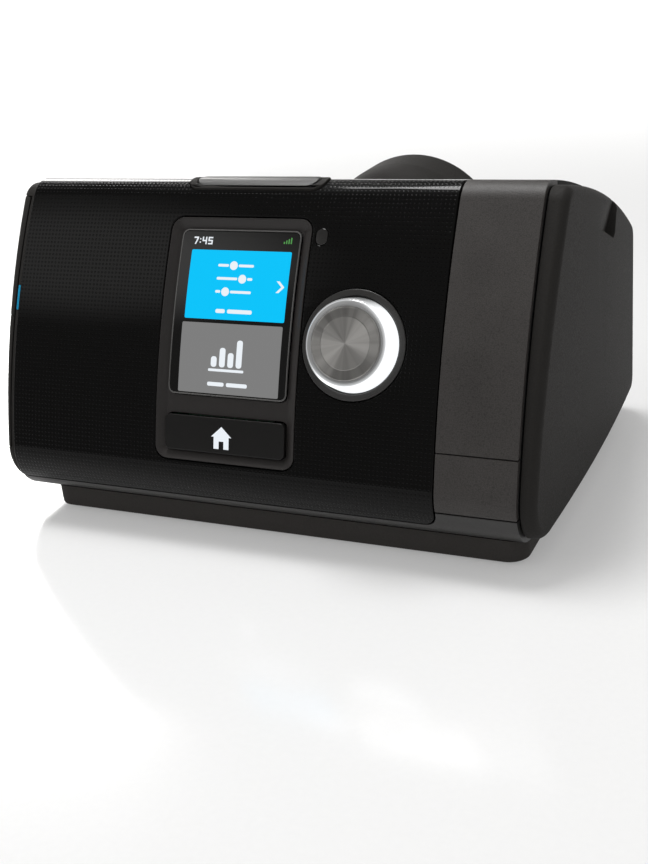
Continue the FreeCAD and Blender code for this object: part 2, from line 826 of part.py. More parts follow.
# ---------------------------------------------------------------- front panels
def front_fascia():
    """Glossy front panel with openings for the tray, the dial, the sensor and the start button."""
    blank = plate_of_skin("fascia_blank", None, "dim.skin", fascia_region("fascia_area"))
    tools = (tray_outline("fascia_tray_hole", "dim.layer_gap"), dial_hole("fascia_dial_hole", "dim.layer_gap"),
             sensor_outline("fascia_sensor_hole", "dim.running_clearance"),
             surround_outline("fascia_start_hole", "dim.layer_gap"))
    piece("front_fascia", cut("fascia", blank, *tools))


def strip_panels():
    """Textured panel right of the fascia and the bare plate under it."""
    x = ("loc.strip_left + dim.seam / 2", "loc.body_right")
    y = (FRONTMOST, "-dim.fascia_rear")
    for name, z in (("strip_panel", ("dim.badge_top + dim.seam / 2", TOPMOST)),
                    ("lower_plate", ("dim.badge_foot", "dim.badge_top - dim.seam / 2"))):
        piece(name, plate_of_skin(name + "_shape", None, "dim.skin", block(name + "_area", x, y, z)))


def front_carrier():
    """Inner frame that carries the front panels, the display and the board."""
    outer = form("carrier_outer", "dim.skin + dim.layer_gap", FULL_X)
    inner = form("carrier_inner", "loc.carrier_back", INNER_X)
    area = block("carrier_area", (LEFTMOST, RIGHTMOST), (FRONTMOST, "-dim.fascia_rear"),
                 ("dim.fascia_foot", TOPMOST))
    blank = common("carrier_blank", cut("carrier_shell", outer, inner), area)
    posts = [rod("board_post", "Y", (x, z), "dim.screw_radius * 2", ("dim.post_root", "dim.board_depth"),
                 "screen_frame") for x, z in board_screw_places()]
    lower_corner = block("carrier_lower_corner", ("loc.strip_left - dim.fascia_corner * 2", RIGHTMOST),
                         (FRONTMOST, REARMOST), ("0", "dim.badge_foot"))
    holes = [rod("board_post_bore", "Y", (x, z), "dim.screw_radius", ("dim.board_depth - dim.post_bore",
             f"dim.board_depth + {PAST}"), "screen_frame") for x, z in board_screw_places()]
    tools = (lower_corner, tray_outline("carrier_tray_hole", "dim.layer_gap"),
             dial_hole("carrier_dial_hole", "dim.layer_gap"),
             start_outline("carrier_start_hole", "dim.key_clearance"), tub_mouth("carrier_tub_mouth"),
             card_window("carrier_card_window"), adapter_window("carrier_adapter_window"))
    piece("front_carrier", cut("carrier", fuse("carrier_with_posts", blank, *posts), *tools, *holes))


def board_screw_places():
    """Places of the board's screws in the screen's frame."""
    left = "dim.board_shift - dim.board_length / 2 + dim.board_margin"
    right = "dim.board_shift + dim.board_margin - dim.screw_head_radius * 2"
    level = "dim.board_height / 2 - dim.board_margin"
    return [(x, z) for x in (left, right) for z in (level, f"-({level})")]


def side_cover_blank(name, x, dome_x):
    """End cap: the inset side profile with a bulged and rounded outer face."""
    bar = form(name + "_bar", "dim.cover_inset", x)
    dome = rod(name + "_dome", "Z", (dome_x, "loc.dome_y"), "loc.dome_radius", (f"-{BEYOND}", TOPMOST))
    blank = common(name + "_blank", bar, dome)
    doc.recompute()
    rounded = named("Part::Fillet", name + "_rounded")
    rounded.Base = blank
    outer = value_of(x[0] if value_of(x[0]) < 0 else x[1])
    limit = dim.cover_bulge + dim.cover_edge / 2
    radius = float(dim.cover_edge_round)
    edges = [(number, radius, radius) for number, edge in enumerate(blank.Shape.Edges, start=1)
             if max(abs(vertex.X - outer) for vertex in edge.Vertexes) < limit]
    rounded.Edges = edges
    return rounded


def left_side():
    """Left side cover with its two doors, hinged on one pin at their rear edge."""
    x = ("loc.left_end", "loc.body_left - dim.layer_gap")
    blank = side_cover_blank("left", x, "loc.left_end + loc.dome_radius")
    hinge = ("loc.door_hinge_x", "-dim.door_rear")
    spans = {"card_cover": ("dim.door_split + dim.seam / 2", "dim.card_door_top"),
             "adapter_cover": ("dim.adapter_door_foot", "dim.door_split - dim.seam / 2")}
    depth = (LEFTMOST, "loc.left_end + dim.cover_bulge + dim.door_thickness")
    recesses = []
    for name, z in spans.items():
        area = block(name + "_area", depth, (FRONTMOST, "-dim.door_rear - dim.seam"), z)
        leaf = common(name + "_leaf", blank, area)
        knuckle = rod(name + "_knuckle", "Z", hinge, "dim.hinge_radius", z)
        bore = rod(name + "_bore", "Z", hinge, "dim.hinge_pin_radius + dim.running_clearance", z)
        piece(name, cut(name + "_shape", fuse(name + "_with_knuckle", leaf, knuckle), bore))
        roomy = grown(z, "dim.seam")
        recesses.append(block(name + "_recess", (LEFTMOST, f"{depth[1]} + dim.seam"),
                              (FRONTMOST, "-dim.door_rear"), roomy))
        recesses.append(rod(name + "_groove", "Z", hinge, "dim.hinge_radius + dim.hinge_room", roomy))
    pin_span = ("dim.adapter_door_foot - dim.pin_seat", "dim.card_door_top + dim.pin_seat")
    pin_hole = rod("door_pin_hole", "Z", hinge, "dim.hinge_pin_radius", pin_span)
    cover = cut("left_cover_shape", blank, *recesses, pin_hole, card_window("cover_card_window"),
                adapter_window("cover_adapter_window"))
    piece("left_side_cover", cover)
    hinge_pins.append(rod("door_pin", "Z", hinge, "dim.hinge_pin_radius", pin_span))


# ---------------------------------------------------------------- cases and base
def hump(name, shrink):
    """Round housing over the air outlet, with a domed front."""
    span = (f"dim.hump_front + {shrink}", f"dim.hump_rear - {shrink}")
    drum = rod(name + "_drum", "Y", ("loc.outlet_x", "dim.hump_axis_level"), f"dim.hump_radius - {shrink}", span)
    doc.recompute()
    domed = named("Part::Fillet", name)
    domed.Base = drum
    rounds = {value_of(span[0]): value_of(f"dim.hump_round - {shrink}"),
              value_of(span[1]): value_of(f"dim.hump_rear_round - {shrink}")}
    edges = []
    for number, edge in enumerate(drum.Shape.Edges, start=1):
        for end, radius in rounds.items():
            if edge.BoundBox.YLength < TOUCH and abs(edge.BoundBox.YMin - end) < TOUCH:
                edges.append((number, radius, radius))
    domed.Edges = edges
    return domed


def front_voids():
    """Space that the front panels take from the cases."""
    strip = block("strip_void", ("loc.strip_left - dim.fascia_corner * 2", RIGHTMOST),
                  (FRONTMOST, "-dim.fascia_rear + dim.seam"), ("dim.badge_foot - dim.seam", TOPMOST))
    return fascia_region("fascia_void", "dim.seam"), strip


def screw_places():
    """Plan places of the four screws that hold the base."""
    return [(x, y) for x in ("loc.plinth_left + dim.boss_inset", "loc.plinth_right - dim.boss_inset")
            for y in ("-dim.boss_y", "dim.boss_y")]


def lower_case():
    """Bottom shell with screw bosses."""
    shell = cut("lower_hollow", form("lower_hull", None, FULL_X), form("lower_cavity", "dim.skin", INNER_X))
    low = common("lower_half", shell, block("lower_area", (LEFTMOST, RIGHTMOST), (FRONTMOST, REARMOST),
                                            ("0", "dim.case_split - dim.layer_gap / 2")))
    bosses = [rod("case_boss", "Z", at, "dim.boss_radius", ("dim.base_level", "loc.floor + dim.boss_height"))
              for at in screw_places()]
    bores = [rod("case_bore", "Z", at, "dim.screw_radius", (f"-{BEYOND}", "dim.crest_level / 2"))
             for at in screw_places()]
    with_bosses = fuse("lower_with_bosses", cut("lower_open", low, *front_voids(), tub_mouth("lower_mouth")),
                       *bosses)
    piece("lower_case", cut("lower", with_bosses, *bores))


def filter_span():
    """Spans of the opening for the filter cover in the rear wall."""
    return (around("loc.filter_x", "dim.filter_width / 2"), around("dim.filter_level", "dim.filter_height / 2"))


def clip_ear_places():
    """Spans along X of the two ears that hold the cable clip."""
    inside = "(dim.clip_width / 2 + dim.seat_gap)"
    outside = "(dim.clip_width / 2 + dim.seat_gap + dim.clip_ear)"
    return ((f"loc.inlet_x - {outside}", f"loc.inlet_x - {inside}"),
            (f"loc.inlet_x + {inside}", f"loc.inlet_x + {outside}"))


def outlet_bar(name, grow, y):
    """Round bar about the axis of the air outlet."""
    return rod(name, "Y", ("loc.outlet_x", "dim.outlet_level"), f"dim.outlet_radius + {grow}", y)


def upper_case():
    """Top and rear shell with the hump over the outlet, the relief behind it and the ears of the cable clip."""
    outer = fuse("upper_hull", form("upper_hull_form", None, FULL_X), hump("hump_outer", "0"))
    ear_y = ("dim.rear_depth - dim.skin", "loc.clip_y + dim.hinge_radius")
    ear_z = around("loc.clip_hinge_level", "dim.hinge_radius + dim.hinge_pin_radius")
    ears = [block("clip_ear", x, ear_y, ear_z) for x in clip_ear_places()]
    inner = fuse("upper_hollow", form("upper_cavity", "dim.skin", INNER_X), hump("hump_inner", "dim.hump_wall"))
    hollow_shell = cut("upper_hollow_shell", fuse("upper_with_ears", outer, *ears), inner)
    trough = common("relief_trough", form("relief_hull", None, FULL_X),
                    outlet_bar("relief_wall", "dim.outlet_relief + dim.skin",
                               ("dim.hump_rear - dim.hump_wall", "dim.rear_depth")))
    relief = outlet_bar("outlet_relief", "dim.outlet_relief", ("dim.hump_rear", REARMOST))
    shell = cut("upper_shell", fuse("upper_with_trough", hollow_shell, trough), relief)
    top = common("upper_half", shell, block("upper_area", (LEFTMOST, RIGHTMOST), (FRONTMOST, REARMOST),
                                            ("dim.case_split + dim.layer_gap / 2", TOPMOST)))
    filter_x, filter_z = filter_span()
    filter_hole = slab("filter_hole", "XZ", filter_x, filter_z, ("dim.rear_depth - dim.skin * 2", REARMOST),
                       "dim.seam")
    outlet_hole = outlet_bar("outlet_hole", "dim.layer_gap", ("dim.hump_rear - dim.hump_wall * 2", REARMOST))
    inlet_hole = block("inlet_hole", around("loc.inlet_x", "dim.inlet_width / 2 + dim.running_clearance"),
                       ("dim.rear_depth - dim.skin * 2", REARMOST),
                       around("dim.inlet_level", "dim.inlet_height / 2 + dim.running_clearance"))
    tools = [*front_voids(), tub_mouth("upper_mouth"), filter_hole, outlet_hole, inlet_hole,
             filter_pin("filter_pin_hole"), clip_pin("clip_pin_hole")]
    piece("upper_case", cut("upper", top, *tools))


def base():
    """Plinth whose rim rises to the rounded foot of the case, with its screws and rubber feet."""
    x = ("loc.plinth_left", "loc.plinth_right")
    y = ("-dim.plinth_front", "dim.plinth_rear")
    z = ("dim.foot_height", "dim.base_level")
    raised = (z[0], "dim.base_level + dim.plinth_rise")
    block_shape = slab("plinth_block", "XY", x, y, raised, "dim.plinth_round")
    seat = common("plinth_seat", form("plinth_seat_form", "-dim.layer_gap", FULL_X),
                  block("plinth_seat_area", (LEFTMOST, RIGHTMOST), (FRONTMOST, REARMOST), ("dim.base_level", TOPMOST)))
    pocket = slab("plinth_pocket", "XY", grown(x, "-dim.plinth_wall"), grown(y, "-dim.plinth_wall"),
                  ("dim.foot_height + dim.plinth_wall", f"dim.base_level + {BEYOND}"), "dim.plinth_round / 2")
    columns = [rod("plinth_column", "Z", at, "dim.screw_head_radius + dim.plinth_wall", z)
               for at in screw_places()]
    foot_x = ("loc.plinth_left + dim.foot_inset", "loc.plinth_right - dim.foot_inset")
    foot_y = ("-dim.plinth_front + dim.foot_inset", "dim.plinth_rear - dim.foot_inset")
    feet_at = [(fx, fy) for fx in foot_x for fy in foot_y]
    foot_z = ("0", "dim.foot_height + dim.foot_socket")
    sockets = [rod("foot_socket", "Z", at, "dim.foot_radius", foot_z) for at in feet_at]
    head_z = ("dim.foot_height + dim.screw_sink", "dim.foot_height + dim.screw_sink + dim.screw_head_height")
    head_holes = [rod("plinth_counterbore", "Z", at, "dim.screw_head_radius + dim.layer_gap", ("0", head_z[1]))
                  for at in screw_places()]
    shank_holes = [rod("plinth_bore", "Z", at, "dim.screw_radius + dim.layer_gap",
                       ("0", f"dim.base_level + {BEYOND}")) for at in screw_places()]
    plinth = fuse("plinth_with_columns", cut("plinth_tray", block_shape, pocket, seat), *columns)
    piece("base_plinth", cut("plinth", plinth, *sockets, *head_holes, *shank_holes))
    piece("rubber_feet", group("feet", *[rod("foot", "Z", at, "dim.foot_radius", foot_z) for at in feet_at]))
    screws = [fuse("base_screw", rod("screw_head", "Z", at, "dim.screw_head_radius", head_z),
                   rod("screw_shank", "Z", at, "dim.screw_radius", (head_z[0], f"{head_z[1]} + dim.screw_length")))
              for at in screw_places()]
    machine_screws.extend(screws)


# ---------------------------------------------------------------- screen, home key and light sensor
def screen():
    """Sunken tray with the window lens, the display behind it and the home key with its switch."""
    blank = plate_of_skin("tray_blank", None, "dim.tray_depth + dim.tray_wall", tray_outline("tray_area"))
    u = around("0", "dim.tray_width / 2 - dim.tray_border")
    v = around("0", "dim.tray_height / 2 - dim.tray_border")
    pocket_area = slab("tray_pocket_area", "XZ", u, v, around("0", BEYOND),
                       "dim.tray_corner - dim.tray_border / 2", "screen_frame")
    pocket = common("tray_pocket", skin_layer("tray_pocket_layer", "-dim.tray_depth", "dim.tray_depth"),
                    pocket_area)
    tray = cut("tray", blank, pocket, window_outline("tray_window", "dim.layer_gap"),
               key_outline("tray_key_hole", "dim.key_clearance"))
    piece("screen_tray", tray)
    piece("screen_lens", plate_of_skin("lens", "dim.tray_depth - dim.lens_thickness / 2",
                                       "dim.tray_depth + dim.lens_thickness / 2", window_outline("lens_area")))
    front = "loc.display_front"
    panel = slab("display", "XZ", around("0", "dim.window_width / 2 - dim.seat_gap"),
                 around("0", "dim.window_height / 2 - dim.seat_gap"),
                 (front, f"{front} + dim.display_depth"), "dim.window_corner / 2", "display_frame")
    ribbon = block("ribbon", around("0", "dim.chip_side"), ("loc.cable_front", "dim.board_depth"),
                   around("loc.cable_level", "dim.layer_gap"), "screen_frame")
    piece("display_module", group("display_with_cable", panel, ribbon))
    key = plate_of_skin("key_plate", "dim.layer_gap", "dim.layer_gap + dim.key_thickness", key_outline("key_area"))
    stem = rod("key_stem", "Y", ("0", "-dim.key_drop"), "dim.key_stem",
               ("dim.key_thickness + dim.carrier_wall / 2", "loc.key_stem_end"), "screen_frame")
    piece("home_key", fuse("key", key, stem))
    body = block("switch_body", around("0", "dim.switch_side / 2"),
                 ("loc.switch_front + dim.switch_rise", "dim.board_depth"),
                 around("-dim.key_drop", "dim.switch_side / 2"), "screen_frame")
    button = rod("switch_button", "Y", ("0", "-dim.key_drop"), "dim.switch_side / 4",
                 ("loc.switch_front", "dim.board_depth"), "screen_frame")
    piece("home_switch", fuse("switch", body, button))
    piece("light_sensor_lens", common("sensor_lens_shape", skin_layer("sensor_layer", None, "dim.skin"),
                                      sensor_outline("sensor_area")))


# ---------------------------------------------------------------- dial
def dial():
    """Push-and-turn dial: ring, lit skirt, metal face, shaft, plunger and encoder."""
    centre = ("0", "0")
    ring_back = "dim.dial_ring_depth + dim.dial_ring_floor"
    ring = cut("ring_shape",
               rod("ring_outer", "Y", centre, "dim.dial_ring_radius", ("-dim.layer_gap", ring_back), "dial_frame"),
               rod("ring_inner", "Y", centre, "dim.dial_ring_radius - dim.dial_ring_wall",
                   (f"-{BEYOND}", "dim.dial_ring_depth"), "dial_frame"),
               rod("ring_bore", "Y", centre, "dim.shaft_radius + dim.seam * 2", around("0", BEYOND),
                   "dial_frame"))
    piece("dial_ring", ring)
    foot = "dim.dial_ring_depth - dim.dial_travel - dim.seam"
    body = rod("skirt_cone", "Y", centre, "dim.dial_top_radius", ("-dim.dial_height", foot), "dial_frame",
               top_radius="dim.dial_foot_radius")
    hollow = rod("skirt_hollow", "Y", centre, "dim.dial_top_radius - dim.skirt_wall",
                 ("-dim.dial_height + dim.skirt_wall", foot), "dial_frame",
                 top_radius="dim.dial_foot_radius - dim.skirt_wall")
    rounded = rounded_rim("skirt_rounded", body, "dim.dial_top_radius", "dim.dial_rim_round")
    piece("dial_skirt", cut("skirt", rounded, hollow))
    face_top = "-dim.dial_height - dim.dial_face_height"
    face = rod("face_plate", "Y", centre, "dim.dial_face_radius", (face_top, "-dim.dial_height"), "dial_frame")
    groove = cut("face_groove", rod("groove_outer", "Y", centre, "dim.dial_disc_radius + dim.seam",
                                    (f"{face_top} - {PAST}", f"{face_top} + dim.layer_gap"), "dial_frame"),
                 rod("groove_inner", "Y", centre, "dim.dial_disc_radius",
                     (f"{face_top} - {PAST}", f"{face_top} + dim.layer_gap"), "dial_frame"))
    piece("dial_face", cut("face", face, groove))
    shaft = rod("shaft_bar", "Y", centre, "dim.shaft_radius", ("-dim.dial_height + dim.skirt_wall",
                "loc.shaft_end"), "dial_frame")
    tip = rod("shaft_tip", "Y", centre, "dim.shaft_tip_radius",
              ("0", "loc.shaft_end + dim.shaft_tip_length"), "dial_frame")
    piece("dial_shaft", fuse("shaft", shaft, tip))
    plunger = cut("plunger_shape",
                  rod("plunger_disc", "Y", centre, "dim.plunger_radius",
                      ("loc.plunger_front", "loc.plunger_front + dim.plunger_height"), "dial_frame"),
                  rod("plunger_bore", "Y", centre, "dim.shaft_tip_radius + dim.running_clearance",
                      around("0", BEYOND), "dial_frame"))
    piece("dial_plunger", plunger)
    encoder = cut("encoder_shape",
                  block("encoder_body", around("0", "dim.encoder_side / 2"),
                        ("loc.encoder_front", "loc.encoder_front + dim.encoder_depth"),
                        around("0", "dim.encoder_side / 2"), "dial_frame"),
                  rod("encoder_mouth", "Y", centre, "dim.shaft_radius + dim.seat_gap",
                      ("0", "loc.plunger_front"), "dial_frame"),
                  rod("encoder_bore", "Y", centre, "dim.plunger_radius + dim.running_clearance",
                      ("loc.plunger_front - dim.seat_gap",
                       "loc.plunger_front + dim.plunger_height + dim.dial_travel + dim.seat_gap"), "dial_frame"))
    piece("dial_encoder", encoder)


# ---------------------------------------------------------------- start button
def start_button():
    """Long button on the crest, the frame around it and its flexible switch strip."""
    frame_blank = plate_of_skin("surround_blank", "-dim.surround_proud", "dim.skin",
                                surround_outline("surround_area"))
    piece("start_surround", cut("surround", frame_blank, start_outline("surround_hole", "dim.key_clearance")))
    piece("start_button", plate_of_skin("start", "-dim.start_proud", "dim.start_depth",
                                        start_outline("start_area")))
    strip = plate_of_skin("switch_strip", "loc.carrier_back + dim.seat_gap",
                          "loc.carrier_back + dim.seat_gap + dim.strip_thickness",
                          start_outline("switch_strip_area", "dim.strip_lap"))
    dome = rod("switch_dome", "Z", ("0", "0"), "dim.switch_side / 2", ("loc.dome_foot", "loc.dome_top"),
               "start_frame")
    piece("start_switch", fuse("strip_and_dome", strip, dome))


# ---------------------------------------------------------------- water tub, bay and heater
def plan_window(name, grow, z):
    """Prism over the heated area in plan."""
    x = around("loc.tub_middle_x", f"dim.heater_length / 2 + {grow}")
    y = around("loc.tub_middle_y", f"dim.heater_depth / 2 + {grow}")
    return slab(name, "XY", x, y, z, f"dim.heater_corner + {grow}")


def port(name, y, x, grow="0"):
    """Round air passage through the walls at the tub's inner end."""
    return rod(name, "X", (y, "loc.port_level"), f"dim.port_radius + {grow}", x)


def bay():
    """Liner of the bay with the heater under its floor."""
    y = ("loc.bay_front", "loc.bay_rear")
    z = ("loc.bay_floor", "loc.bay_top")
    right = "loc.body_right - dim.skin - dim.layer_gap"
    outer = slab("bay_outer", "YZ", y, z, ("loc.bay_left", right), "dim.bay_corner")
    inner = slab("bay_inner", "YZ", grown(y, "-dim.bay_wall"), grown(z, "-dim.bay_wall"),
                 ("loc.bay_left + dim.bay_wall", RIGHTMOST), "dim.bay_corner - dim.bay_wall")
    through = around("loc.bay_left", "dim.bay_wall * 2")
    floor_hole = plan_window("bay_floor_hole", "dim.seat_gap", around("loc.bay_floor", "dim.bay_wall * 2"))
    ports = [port("bay_port", y_port, through) for y_port in ("loc.inlet_port_y", "loc.outlet_port_y")]
    piece("bay_liner", cut("liner", outer, inner, floor_hole, *ports))
    plate_z = ("loc.bay_floor + dim.bay_wall - dim.heater_thickness", "loc.bay_floor + dim.bay_wall")
    piece("heater_plate", plan_window("heater", "0", plate_z))
    insulator_top = "loc.floor + dim.insulator_thickness"
    piece("heater_insulator", plan_window("insulator", "-dim.plenum_wall", ("loc.floor", insulator_top)))
    spring_x = around("loc.tub_middle_x", "dim.heater_length / 2 - dim.spring_radius * 3")
    spring_y = around("loc.tub_middle_y", "dim.heater_depth / 2 - dim.spring_radius * 3")
    springs = [cut("spring", rod("spring_outer", "Z", (sx, sy), "dim.spring_radius", (insulator_top, plate_z[0])),
                   rod("spring_inner", "Z", (sx, sy), "dim.spring_radius / 2", (insulator_top, plate_z[0])))
               for sx in spring_x for sy in spring_y]
    piece("heater_springs", group("springs", *springs))


def tub_body(name, shrink, x):
    """Bar with the tub's section, made smaller all round by the shrink."""
    y = grown(("loc.tub_front", "loc.tub_rear"), f"-({shrink})")
    z = (f"loc.tub_foot + {shrink}", f"loc.tub_top - ({shrink})")
    return slab(name, "YZ", y, z, x, f"loc.tub_corner - ({shrink})")


def tub():
    """Slide-out water tub: base with its metal plate, seal, lid and the end cover that is its handle."""
    everywhere = ((LEFTMOST, RIGHTMOST), (FRONTMOST, REARMOST))
    outer_x = ("loc.tub_left", "loc.tub_cover_left")
    inner_x = ("loc.tub_left + dim.tub_wall", "loc.tub_cover_left - dim.tub_wall")
    seal_foot = "loc.lid_foot - dim.seal_height"
    hollow = cut("tub_hollow", tub_body("tub_outer", "0", outer_x), tub_body("tub_inner", "dim.tub_wall", inner_x))
    low = common("tub_low", hollow, block("tub_low_area", *everywhere, ("0", seal_foot)))
    plate_z = ("loc.tub_foot", "loc.tub_foot + dim.tub_wall")
    plate_hole = plan_window("tub_plate_hole", "0", around("loc.tub_foot", "dim.tub_wall * 2"))
    piece("tub_base", cut("tub_base_shape", low, plate_hole))
    piece("tub_plate", plan_window("tub_metal", "0", plate_z))
    seal_x = ("loc.tub_left", "loc.tub_cover_left")
    seal_y = ("loc.tub_front", "loc.tub_rear")
    seal_z = (seal_foot, "loc.lid_foot")
    ring = cut("seal_ring", slab("seal_outer", "XY", seal_x, seal_y, seal_z, "dim.seal_width"),
               slab("seal_inner", "XY", grown(seal_x, "-dim.seal_width"), grown(seal_y, "-dim.seal_width"),
                    (seal_foot, TOPMOST), "dim.seal_width / 2"))
    piece("tub_seal", ring)
    high = common("tub_high", hollow, block("tub_high_area", *everywhere, ("loc.lid_foot", TOPMOST)))
    through = around("loc.tub_left", "dim.tub_wall * 2")
    ports = [port("tub_port", y_port, through) for y_port in ("loc.inlet_port_y", "loc.outlet_port_y")]
    piece("tub_lid", cut("tub_lid_shape", high, *ports))
    x = ("loc.tub_cover_left", "loc.right_end")
    blank = side_cover_blank("right", x, "loc.right_end - loc.dome_radius")
    notch = slab("notch", "YZ", ("-dim.notch_length * 1.5", "0"), ("0", "dim.notch_level"),
                 ("0", BEYOND), "dim.notch_corner", "notch_seat")
    piece("tub_end_cover", cut("tub_cover_shape", blank, notch))


# ---------------------------------------------------------------- blower, muffler and ducts
def impeller():
    """Backward-leaning bladed wheel made as one body."""
    body = named("PartDesign::Body", "impeller_body")
    plane = next(feature for feature in body.Origin.OriginFeatures if feature.Role == "XY_Plane")

    def disc(name, radius, low, high):
        sketch = body.newObject("Sketcher::SketchObject", name + "_sketch")
        sketch.AttachmentSupport = [(plane, "")]
        sketch.MapMode = "FlatFace"
        sketch.setExpression("AttachmentOffset.Base.z", low)
        circle = sketch.addGeometry(Part.Circle(Vector(), Vector(0, 0, 1), value_of(radius)))
        sketch.addConstraint(Sketcher.Constraint("Coincident", circle, 3, -1, 1))
        pin_value(sketch, sketch.addConstraint(Sketcher.Constraint("Radius", circle, value_of(radius))),
                  "radius", radius)
        pad = body.newObject("PartDesign::Pad", name)
        pad.Profile = sketch
        pad.setExpression("Length", f"{high} - ({low})")
        doc.recompute()
        return pad

    disc_top = "loc.impeller_foot + dim.impeller_disc"
    disc("impeller_disc", "dim.impeller_radius", "loc.impeller_foot", disc_top)
    disc("impeller_hub", "dim.hub_radius", "loc.impeller_foot", "loc.blade_top")
    blade_sketch = body.newObject("Sketcher::SketchObject", "blade_sketch")
    blade_sketch.AttachmentSupport = [(plane, "")]
    blade_sketch.MapMode = "FlatFace"
    blade_sketch.setExpression("AttachmentOffset.Base.z", f"{disc_top} - dim.seam / 2")
    half = "dim.blade_thickness / 2"
    lean = "dim.blade_lean"
    inner = "dim.blade_root"
    outer = "dim.blade_tip"
    polygon_sketch(blade_sketch, [(inner, f"-({half})"), (outer, f"{lean} - {half}"),
                                  (outer, f"{lean} + {half}"), (inner, half)])
    blade = body.newObject("PartDesign::Pad", "blade")
    blade.Profile = blade_sketch
    blade.setExpression("Length", "dim.blade_height + dim.seam / 2")
    doc.recompute()
    ring = body.newObject("PartDesign::PolarPattern", "blades")
    ring.Originals = [blade]
    ring.Axis = (blade_sketch, ["N_Axis"])
    ring.Angle = 360
    ring.setExpression("Occurrences", "dim.blade_count")
    body.Tip = ring
    body.setExpression("Placement", offset_placement("loc.blower_x", "dim.blower_y", "0", NO_TURN, None))
    doc.recompute()
    bore = rod("impeller_bore", "Z", ("loc.blower_x", "dim.blower_y"), "dim.motor_shaft_radius",
               ("0", "dim.crest_level"))
    piece("impeller", cut("impeller_shape", body, bore))


def blower():
    """Blower: volute halves, cradle, motor and impeller on one upright shaft."""
    centre = ("loc.blower_x", "dim.blower_y")
    full = ("dim.blower_foot", "loc.volute_top")
    horn_x = ("loc.blower_x", "loc.duct_left - dim.seat_gap")
    horn_at = ("loc.inlet_port_y", "loc.volute_mid")
    outer = fuse("volute_outer", rod("volute_drum", "Z", centre, "dim.volute_radius", full),
                 rod("horn", "X", horn_at, "dim.duct_radius + dim.duct_wall", horn_x))
    hollow = grown(full, "-dim.volute_wall")
    inner = fuse("volute_inner", rod("volute_room", "Z", centre, "dim.volute_radius - dim.volute_wall", hollow),
                 rod("horn_bore", "X", horn_at, "dim.duct_radius", (horn_x[0], f"{horn_x[1]} + {PAST}")))
    inlet = rod("volute_inlet", "Z", centre, "dim.inlet_radius", ("loc.volute_mid", f"loc.volute_top + {PAST}"))
    bearing_hole = rod("bearing_hole", "Z", centre, "dim.bearing_radius", ("0", "loc.volute_mid"))
    shell = cut("volute_shell", outer, inner, inlet, bearing_hole)
    halves = {"volute_lower": ("0", "loc.volute_mid"), "volute_upper": ("loc.volute_mid", TOPMOST)}
    for name, z in halves.items():
        area = block(name + "_area", (LEFTMOST, RIGHTMOST), (FRONTMOST, REARMOST), z)
        piece(name, common(name + "_shape", shell, area))
    cradle_z = ("loc.floor", "dim.blower_foot")
    outer_radius = "dim.volute_radius - dim.cradle_inset"
    piece("blower_cradle", cut("cradle", rod("cradle_outer", "Z", centre, outer_radius, cradle_z),
                               rod("cradle_inner", "Z", centre, f"{outer_radius} - dim.cradle_width", cradle_z)))
    stator_z = ("loc.volute_floor", "loc.stator_top")
    stator = cut("stator", rod("stator_outer", "Z", centre, "dim.stator_radius", stator_z),
                 rod("stator_inner", "Z", centre, "dim.rotor_radius + dim.air_gap", stator_z))
    cap_z = ("loc.stator_top", "loc.motor_cap_top")
    cap = cut("motor_cap", rod("cap_disc", "Z", centre, "dim.stator_radius", cap_z),
              rod("cap_hole", "Z", centre, "dim.bearing_radius", cap_z))
    piece("motor_stator", group("stator_and_cap", stator, cap))
    bearings = []
    for foot in ("loc.bearing_foot", "loc.stator_top"):
        z = (foot, f"{foot} + dim.bearing_height")
        bearings.append(cut("bearing", rod("race_outer", "Z", centre, "dim.bearing_radius", z),
                            rod("race_inner", "Z", centre,
                                "dim.motor_shaft_radius + dim.running_clearance", z)))
    piece("motor_bearings", group("bearings", *bearings))
    rotor_z = ("loc.volute_floor + dim.bearing_height / 2 + dim.seat_gap", "loc.stator_top - dim.seat_gap")
    piece("motor_rotor", cut("rotor", rod("rotor_outer", "Z", centre, "dim.rotor_radius", rotor_z),
                             rod("rotor_bore", "Z", centre, "dim.motor_shaft_radius", rotor_z)))
    piece("motor_shaft", rod("motor_axle", "Z", centre, "dim.motor_shaft_radius",
                             ("loc.bearing_foot", "loc.blade_top")))
    impeller()


def muffler():
    """Inlet muffler box over the blower, open towards the filter, with its foam."""
    x = around("loc.blower_x", "dim.muffler_length / 2")
    y = ("loc.muffler_front", "loc.muffler_rear")
    z = ("loc.volute_top + dim.seat_gap", "loc.volute_top + dim.seat_gap + dim.muffler_height")
    box = slab("muffler_outer", "XY", x, y, z, "dim.filter_corner * 2")
    room_y = ("loc.muffler_front + dim.muffler_wall", REARMOST)
    room_z = grown(z, "-dim.muffler_wall")
    room = block("muffler_room", grown(x, "-dim.muffler_wall"), room_y, room_z)
    hole = rod("muffler_hole", "Z", ("loc.blower_x", "dim.blower_y"), "dim.inlet_radius",
               around("loc.volute_top", "dim.muffler_wall * 2"))
    piece("muffler_box", cut("muffler", box, room, hole))
    foam_y = ("loc.muffler_front + dim.muffler_wall", "loc.muffler_rear - dim.muffler_wall")
    piece("muffler_foam", block("foam", grown(x, "-dim.muffler_wall"), foam_y,
                                (f"{room_z[1]} - dim.foam_thickness", room_z[1])))


